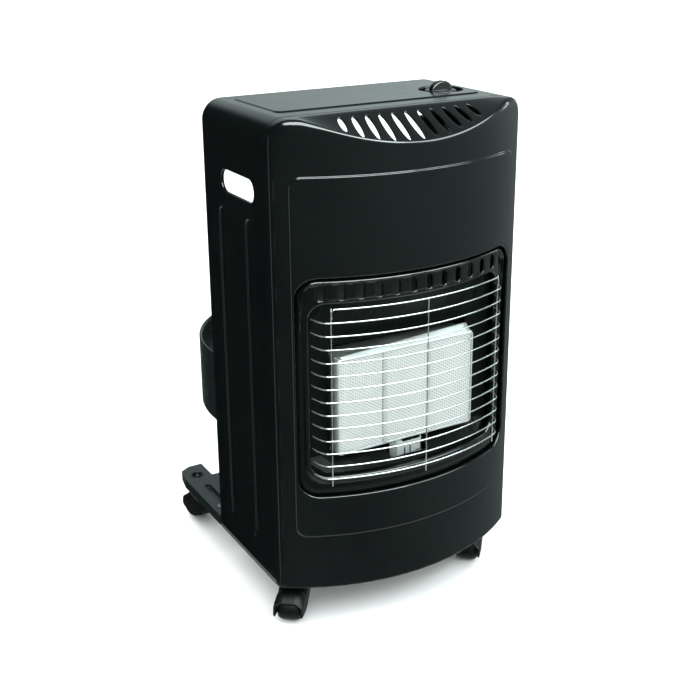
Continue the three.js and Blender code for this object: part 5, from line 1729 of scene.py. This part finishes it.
@dataclass
class Caster:
    """One twin-cheek caster: a moulded hood that swivels, and the barrel wheel that it straddles."""

    name: str
    king_pin: tuple[float, float]
    turn: float
    trail: float = 38.0
    axle_level: float = -38.0
    wheel_radius: float = 20.0
    wheel_half: float = 17.0
    hood_radius: float = 24.5
    hood_half: float = 22.0
    wall: float = 3.2
    crown: float = 13.0
    thin_crown: float = 2.0
    boss: float = 13.0
    hood_top: float = -3.4
    tip_drop: float = 7.0
    opening_top: float = -23.0

    def stand(self, points: np.ndarray) -> np.ndarray:
        """Turn points from the caster's own frame, with the king pin on Z, into the cabinet's."""
        return turned(points, self.turn) + (*self.king_pin, 0.0)

    def outline(self) -> tuple[np.ndarray, np.ndarray]:
        """Draw the hood from its side.

        Returns:
            The closed outline, counter-clockwise, and the part of it that is the rounded back.
        """
        dome = circle(self.trail, self.axle_level, self.hood_radius, np.radians(np.linspace(-10, 118, 33)))
        b, top, tip = self.boss, self.hood_top, self.axle_level - self.tip_drop
        saddle = np.array([(23.2, -12.6), (19.6, -8.2), (16.2, -5.0)])
        crest = [(b, top), (b * 0.4, top + SLACK), (-b * 0.3, top), (-b + 2.6, top), (-b + 0.7, top - 0.8)]
        front = np.array([*crest, *[(-b, top - drop) for drop in (2.8, 9.0, 15.0, 21.0, 27.6)]])
        back = np.concatenate([dome, saddle, front])
        belly = np.array([(-6.0, -34.2), (2.0, -37.6), (10.0, -41.3), (18.0, tip), (24.5, tip - 1.4),
                          (31.0, tip - 1.9), (self.trail, tip - 1.5), (45.0, tip - 0.2), (51.0, tip + 1.1),
                          (57.0, tip + 1.9)])
        return counter_clockwise(np.concatenate([back, belly])), back

    def cheek(self, flat: np.ndarray, back: np.ndarray) -> np.ndarray:
        """Bulge one cheek of the hood.

        Args:
            flat: its (along, up) points.
            back: the part of the outline that is the rounded back.

        Returns:
            How far each point lies from the middle of the hood.
        """
        away = np.full(len(flat), 99.0)
        for start, end in zip(back[:-1], back[1:]):
            along = end - start
            share = np.clip((flat - start) @ along / (along @ along), 0, 1)
            away = np.minimum(away, np.linalg.norm(flat - start - share[:, None] * along, axis=1))
        bulging = smooth_step(flat[:, 1], self.opening_top - 5.0, self.opening_top + 2.0)
        crown = self.thin_crown + (self.crown - self.thin_crown) * bulging
        short = np.clip(crown - away, 0, None)
        return self.hood_half - crown + np.sqrt(crown ** 2 - short ** 2)

    def hood(self) -> bpy.types.Object:
        """Mould the hood as one thin shell, open below.

        Returns:
            The hood.
        """
        maker = SheetMaker()
        outline, back = self.outline()
        rims: list[np.ndarray] = []
        for side in (-1, 1):
            def lay(flat: np.ndarray, side: int = side) -> np.ndarray:
                """Give one cheek its bulge."""
                return self.stand(np.column_stack([flat[:, 0], side * self.cheek(flat, back), flat[:, 1]]))

            creases = [grown(outline, -g) for g in (0.5, 1.4)]
            ids, _ = maker.add_field(outline, [], creases, (2.6, 2.6), lay, side > 0)
            rims.append(ids)
        count, first = len(back), int(np.argmin(np.linalg.norm(outline - back[0], axis=1)))
        order = [(first + k) % len(outline) for k in range(count)]
        if np.linalg.norm(outline[order[1]] - back[1]) > 1e-6:
            order = [(first - k) % len(outline) for k in range(count)]
        for step, (a, b) in enumerate(zip(order[:-1], order[1:])):
            if back[step, 0] < self.trail or back[step, 1] > self.opening_top:
                maker.faces.append((rims[0][a], rims[0][b], rims[1][b], rims[1][a]))
        return face_outwards(maker.build(f"{self.name}_fork", self.wall), open_below=True)

    def wheel(self) -> bpy.types.Object:
        """Turn the barrel wheel, with a shallow groove beside each shoulder.

        Returns:
            The wheel.
        """
        maker = SheetMaker()
        r, half = self.wheel_radius, self.wheel_half
        side = [(4.4, half - 1.6), (7.5, half - 1.6), (8.6, half - 0.4), (12.6, half - 0.2), (14.6, half),
                (16.2, half - 0.5), (17.6, half - 2.0), (18.7, half - 4.4), (19.4, half - 7.2),
                (19.9, half - 10.2), (r, half - 13.0), (r, 0.0)]
        profile = [*side, *[(radius, -y) for radius, y in side[-2::-1]]]
        rings = [self.stand(at_depth(circle(self.trail, self.axle_level, radius, full_turn(56)), y))
                 for radius, y in profile]
        last = maker.add_rows(maker.add_points(rings[0]), rings[1:], True)
        maker.add_rows(last, [rings[0]], True)
        return maker.build(f"{self.name}_roller", crease=45.0)

    def assemble(self) -> None:
        """Build the hood and the wheel, and put them in their CAD nodes' place."""
        for piece, body, node in ((self.hood(), "swivel", "hood"), (self.wheel(), "roller", "wheel")):
            stand_in(piece, Paint.PLASTIC, f"{self.name}_{body}", "black_plastic",
                     f"{self.name}_caster_{node}")


@dataclass
class RailPressings:
    """The dished hole and slot on top of each base rail, and the two fixings low on each side."""

    cabinet: Cabinet = CABINET
    rail_top: float = 17.0
    hole: tuple[float, float] = (181.0, 154.0)
    hole_radius: float = 10.0
    slot_x: float = 181.0
    slot_half: float = 5.0
    slot_ends: tuple[float, float] = (45.0, 112.0)
    dish: float = 6.0
    fixings: tuple[tuple[float, float], ...] = ((-49.4, 55.3), (-129.9, 52.7))

    def add_dish(self, maker: SheetMaker, outline: np.ndarray) -> None:
        """Line one opening with a rolled rim and a shallow dish.

        Args:
            maker: the pressings so far.
            outline: the opening, in plan.
        """
        floor = -self.dish
        steps = [(2.1, 0.06), (1.5, 0.5), (0.8, 0.72), (0.1, 0.55), (-0.35, -0.1), (-0.6, -1.4),
                 (-1.1, floor + 1.2), (-2.2, floor + 0.2), (-3.4, floor)]
        rows = [at_level(grown(outline, g), self.rail_top + d) for g, d in steps]
        maker.add_rows(maker.add_points(rows[0]), rows[1:], True)
        maker.add_field(grown(outline, steps[-1][0]), [], [], (3.0, 3.0),
                        lambda flat: at_level(flat, self.rail_top + floor))

    def build(self, side: int) -> bpy.types.Object:
        """Press the dishes of one rail.

        Args:
            side: -1 for the left and 1 for the right.

        Returns:
            The dishes.
        """
        maker = SheetMaker()
        x, y = self.hole
        ring = circle(side * x, y, self.hole_radius, full_turn(40))
        middle = side * self.slot_x
        slot = rounded_outline(middle - self.slot_half, middle + self.slot_half, *self.slot_ends,
                               self.slot_half - SLACK, 3.0, 8)
        for outline in (ring, slot):
            self.add_dish(maker, counter_clockwise(outline))
        return maker.build("rail_dishes_left" if side < 0 else "rail_dishes_right", crease=60.0)

    def build_fixings(self) -> bpy.types.Object:
        """Raise the low round heads of the pan's fixings on both sides of the cabinet.

        Returns:
            The four heads.
        """
        maker = SheetMaker()
        profile = ((3.4, -0.2), (3.3, 0.25), (2.7, 0.75), (1.5, 1.0), (0.02, 1.1))
        for side in (-1, 1):
            for y, z in self.fixings:
                rows = [np.column_stack([np.full(28, side * (self.cabinet.half_width + rise)),
                                         circle(y, z, radius, full_turn(28))]) for radius, rise in profile]
                maker.add_rows(maker.add_points(rows[0]), rows[1:], True, side < 0)
        return maker.build("side_fixings", crease=60.0)

    def assemble(self) -> None:
        """Build the pressings and put them on their bodies."""
        for side in (-1, 1):
            stand_in(self.build(side), Paint.RAIL, "rear_base", "frame_paint")
        stand_in(self.build_fixings(), Paint.SATIN, "cabinet", "cabinet_paint")


@dataclass
class PilotClipsAndSlotShade:
    """The dark clips on the front of the pilot bracket, and a dark wire along its slot that is painted shade
    standing in for the slot's dark opening.
    """

    front: float = -240.35
    wire: float = 0.75
    # painted shade: a black bar is drawn where the bracket's slot shows dark
    slot: tuple[float, float, float] = (-8.0, 178.5, 193.0)
    hook: tuple[float, float, float, float] = (1.5, 7.0, 181.0, 194.5)
    frame: tuple[float, float, float, float] = (11.0, 20.0, 184.0, 195.5)

    def build(self) -> bpy.types.Object:
        """Bend the clips from wire, and draw the slot's painted shade as one more dark wire.

        Returns:
            The clips and the slot's painted shade.
        """
        maker = SheetMaker()
        x, low, high = self.slot
        left, right, bottom, top = self.hook
        west, east, south, north = self.frame
        # the first line is painted shade: a dark bar where the slot shows dark; the other two are the clips
        lines = [[(x, high), (x, (low + high) / 2), (x, low)],
                 [(left, top), (left, bottom), (right, bottom)],
                 [(west, north), (east, north), (east, south), (west, south)]]
        for line in lines:
            maker.add_bar(np.array([(px, self.front, pz) for px, pz in line]), self.wire, 8)
        return maker.build("pilot_clips_and_slot_shade", crease=60.0)

    def assemble(self) -> None:
        """Build the clips and the slot's painted shade, and put them on the cabinet."""
        stand_in(self.build(), Paint.ENAMEL, "cabinet", "burner_steel")


class CarriedOver:
    """CAD nodes that keep their shape and get softened edges and a fuller finish."""

    sharp_from: float = 35.0
    finishes: dict[str, tuple[Paint, float]] = {
        "firebox": (Paint.FIREBOX, 0.0), "rear_partition": (Paint.ZINC, 0.3), "base_pan": (Paint.RAIL, 0.3),
        "burner_plenum": (Paint.ZINC, 0.4),
        "burner_support": (Paint.ZINC, 0.4), "ceramic_plaque_1": (Paint.CERAMIC, 0.3),
        "ceramic_plaque_2": (Paint.CERAMIC, 0.3), "ceramic_plaque_3": (Paint.CERAMIC, 0.3),
        "gas_injector": (Paint.BRASS, 0.3), "pilot_bracket": (Paint.STEEL, 0.15),
        "pilot_burner": (Paint.BRASS, 0.2), "spark_electrode": (Paint.PORCELAIN, 0.2),
        "thermocouple": (Paint.COPPER, 0.2), "valve_bracket": (Paint.ZINC, 0.2),
        "gas_valve": (Paint.BRASS, 0.6), "piezo_igniter": (Paint.PLASTIC, 0.6),
        "hose_nozzle": (Paint.BRASS, 0.2), "main_gas_pipe": (Paint.STEEL, 0.0),
        "pilot_pipe": (Paint.COPPER, 0.0), "thermocouple_lead": (Paint.COPPER, 0.0),
        "valve_stem": (Paint.ZINC, 0.3),
        "base_rail_left": (Paint.RAIL, 0.6), "base_rail_right": (Paint.RAIL, 0.6),
        "hinge_pin_left": (Paint.ZINC, 0.3), "hinge_pin_right": (Paint.ZINC, 0.3),
        "rail_screw_left": (Paint.ZINC, 0.2), "rail_screw_right": (Paint.ZINC, 0.2),
        "hoop_stud_left": (Paint.ZINC, 0.3), "hoop_stud_right": (Paint.ZINC, 0.3),
        "cylinder_tray": (Paint.RAIL, 0.5),
        **{f"{place}_caster_{part}": (Paint.ZINC, 0.3)
           for place in ("front_left", "front_right", "rear_left", "rear_right")
           for part in ("mount", "axle")},
    }

    def assemble(self) -> None:
        """Dress every CAD node that is still shown, and soften its edges by so many millimetres."""
        for name, (paint, edge) in self.finishes.items():
            node = frame["nodes"][name]
            dress(node, paint)
            if edge:
                bevel = node.modifiers.new("softened_edges", "BEVEL")
                bevel.width = edge / 1000
                bevel.segments = 2
                bevel.limit_method = "ANGLE"
                bevel.angle_limit = math.radians(self.sharp_from)
                bevel.harden_normals = False


# ---------------------------------------------------------------- the studio


@dataclass
class Studio:
    """A pale floor, soft light and the camera."""

    azimuth: float = -30.1921
    elevation: float = 18.8833
    roll: float = -0.3679
    place: tuple[float, float, float] = (-0.8375, -1.4767, 0.9973)
    focal: float = 1131.1
    frame_side: float = 700.0
    axis_row: float = 301.0
    ceiling: float = 6.4
    tint: Colour = (0.88, 1.0, 0.985)
    room_slant: Colour = (0.55, -0.05, 1.2)
    dark_corner: Colour = (1.0, -0.35, 0.0)
    room_tint: Colour = (0.84, 1.0, 0.985)
    room_range: tuple[float, float] = (-0.6, 1.4)
    corner_range: tuple[float, float] = (-0.62, -0.16)
    corner_tone: float = 0.03
    glow_range: tuple[float, float] = (-0.54, -0.74)
    glow_tone: float = 0.85
    aim: Colour = (0.0, -0.1, 0.5)
    floor_half: float = 40.0
    room_tones: tuple[tuple[float, float], ...] = (
        (-0.57, 0.10), (-0.47, 0.13), (0.01, 0.33), (0.30, 0.42), (0.47, 0.82), (0.8, 0.5), (1.27, 0.26))

    def add_camera(self) -> None:
        """Stand the camera where the photograph was taken from."""
        a, e, r = (math.radians(v) for v in (self.azimuth, self.elevation, self.roll))
        back = Vector((math.sin(a) * math.cos(e), -math.cos(a) * math.cos(e), math.sin(e)))
        right = Vector((math.cos(a), math.sin(a), 0.0))
        up = back.cross(right)
        turned_right = right * math.cos(r) + up * math.sin(r)
        turned_up = up * math.cos(r) - right * math.sin(r)
        data = bpy.data.cameras.new("camera")
        data.sensor_width = 36.0
        data.lens = self.focal / self.frame_side * data.sensor_width
        data.shift_y = (self.axis_row - self.frame_side / 2) / self.frame_side
        data.clip_end = 60.0
        camera = bpy.data.objects.new("camera", data)
        turn = Matrix((turned_right, turned_up, back)).transposed().to_4x4()
        camera.matrix_world = Matrix.Translation(self.place) @ turn
        bpy.context.scene.collection.objects.link(camera)
        bpy.context.scene.camera = camera

    def add_light(
        self, name: str, place: Colour, aim: Colour, size: tuple[float, float], power: float,
        matt: bool = True,
    ) -> None:
        """Hang one soft rectangular light that faces a point.

        Args:
            name: the light's name.
            place: where it hangs.
            aim: the point it faces.
            size: its width and height.
            power: its power in watts.
            matt: whether it lights matt surfaces too, or only shows as a reflection.
        """
        data = bpy.data.lights.new(name, "AREA")
        data.shape = "RECTANGLE"
        data.size, data.size_y = size
        data.energy = power
        data.color = self.tint
        light = bpy.data.objects.new(name, data)
        light.location = place
        light.rotation_euler = (Vector(aim) - Vector(place)).to_track_quat("-Z", "Y").to_euler()
        light.visible_camera = False
        light.visible_diffuse = matt
        bpy.context.scene.collection.objects.link(light)

    def add_sky_light(self) -> None:
        """Light the floor evenly from straight above, so softly that it casts almost no shadow."""
        data = bpy.data.lights.new("ceiling", "SUN")
        data.energy = self.ceiling
        data.angle = math.radians(150)
        light = bpy.data.objects.new("ceiling", data)
        light.visible_glossy = False
        bpy.context.scene.collection.objects.link(light)

    def add_floor(self) -> None:
        """Lay a wide pale floor."""
        mesh = bpy.data.meshes.new("floor")
        body = bmesh.new()
        bmesh.ops.create_grid(body, x_segments=12, y_segments=12, size=self.floor_half)
        body.to_mesh(mesh)
        body.free()
        floor = bpy.data.objects.new("floor", mesh)
        bpy.context.scene.collection.objects.link(floor)
        dress(floor, Paint.FLOOR)
        floor.visible_glossy = False

    def dot(
        self, room: NodeTree, source: bpy.types.NodeSocket, direction: Colour
    ) -> bpy.types.NodeSocket:
        """Measure how far a varying direction runs along a fixed one.

        Args:
            room: the room's nodes.
            source: the socket that carries the varying direction.
            direction: the fixed one.

        Returns:
            The socket that carries the measure.
        """
        product = room.node("ShaderNodeVectorMath", operation="DOT_PRODUCT")
        product.inputs[1].default_value = direction
        room.link(source, product.inputs[0])
        return product.outputs["Value"]

    def tones(self, room: NodeTree, strength: bpy.types.NodeSocket) -> bpy.types.NodeSocket:
        """Turn a strength into the room's tones.

        Args:
            room: the room's nodes.
            strength: the socket that carries the strength.

        Returns:
            The socket that carries the colour.
        """
        start, end = self.room_range
        ramp = room.node("ShaderNodeValToRGB")
        steps = ramp.color_ramp.elements
        while len(steps) < len(self.room_tones):
            steps.new(0.5)
        for step, (place, tone) in zip(steps, self.room_tones):
            step.position = (place - start) / (end - start)
            step.color = (*(tone * part for part in self.room_tint), 1.0)
        room.link(room.spread(strength, 0.0, 1.0, start, end), ramp.inputs["Fac"])
        return ramp.outputs["Color"]

    def add_world(self) -> None:
        """Surround the set with a soft room: dark on the left, bright overhead and on the right."""
        world = bpy.data.worlds.new("studio")
        bpy.context.scene.world = world
        world.use_nodes = True
        room = NodeTree(world.node_tree)
        direction = room.node("ShaderNodeTexCoord").outputs["Generated"]
        dimmed = room.node("ShaderNodeVectorMath", operation="SCALE")
        room.link(self.tones(room, self.dot(room, direction, self.room_slant)), dimmed.inputs[0])
        shade = room.spread(self.dot(room, direction, self.dark_corner), self.corner_tone, 1.0,
                            *self.corner_range, "SMOOTHSTEP")
        room.link(shade, dimmed.inputs["Scale"])
        split = room.node("ShaderNodeSeparateXYZ")
        room.link(direction, split.inputs[0])
        filled = room.node("ShaderNodeVectorMath")
        room.link(dimmed.outputs["Vector"], filled.inputs[0])
        room.link(room.spread(split.outputs["Z"], 0.0, self.glow_tone, *self.glow_range), filled.inputs[1])
        seen = room.node("ShaderNodeLightPath").outputs["Is Camera Ray"]
        mixed = room.blend(seen, filled.outputs["Vector"], (1.0, 1.0, 1.0))
        room.link(mixed, room.tree.nodes["Background"].inputs["Color"])
        room.tree.nodes["Background"].inputs["Strength"].default_value = 1.0

    def assemble(self) -> None:
        """Build the set."""
        self.add_camera()
        self.add_floor()
        self.add_world()
        self.add_sky_light()
        self.add_light("long_strip", (0.9, -1.9, 2.3), self.aim, (3.4, 0.28), 26.0)
        self.add_light("front_softbox", (-0.25, -1.65, 2.4), self.aim, (3.0, 1.9), 330.0, False)
        self.add_light("right_softbox", (1.5, -1.4, 2.05), self.aim, (1.2, 1.6), 60.0, False)
        self.add_light("left_strip", (-2.6, -0.1, -0.2), (0.0, -0.1, 0.2), (0.5, 2.4), 3.6, False)
        self.add_light("right_strip", (2.6, -0.4, 1.2), (0.0, -0.1, 0.4), (0.2, 1.6), 8.0)
        bpy.context.scene.view_settings.view_transform = "Standard"


def main() -> None:
    """Build and dress the heater, piece by piece."""
    logging.basicConfig(level=logging.INFO, format="%(name)s: %(message)s")
    parts: dict[str, object] = {
        "studio": Studio(), "front panel": FrontPanel(), "cabinet shell": CabinetShell(),
        "window surround": Surround(), "wire guard": WireGuard(), "burner face": BurnerFace(),
        "bottle hoop": CylinderHoop(), "knob": Knob(),
        "front left caster": Caster("front_left", (-163.0, -178.0), 231.0),
        "front right caster": Caster("front_right", (163.0, -178.0), 228.0),
        "rear left caster": Caster("rear_left", (-181.5, 113.5), 89.0),
        "rear right caster": Caster("rear_right", (181.5, 113.5), 75.0),
        "rail pressings": RailPressings(), "pilot clips and slot shade": PilotClipsAndSlotShade(), "carried-over pieces": CarriedOver(),
    }
    for name, part in parts.items():
        part.assemble()
        LOG.info("built the %s", name)


if __name__ == "__main__":
    main()
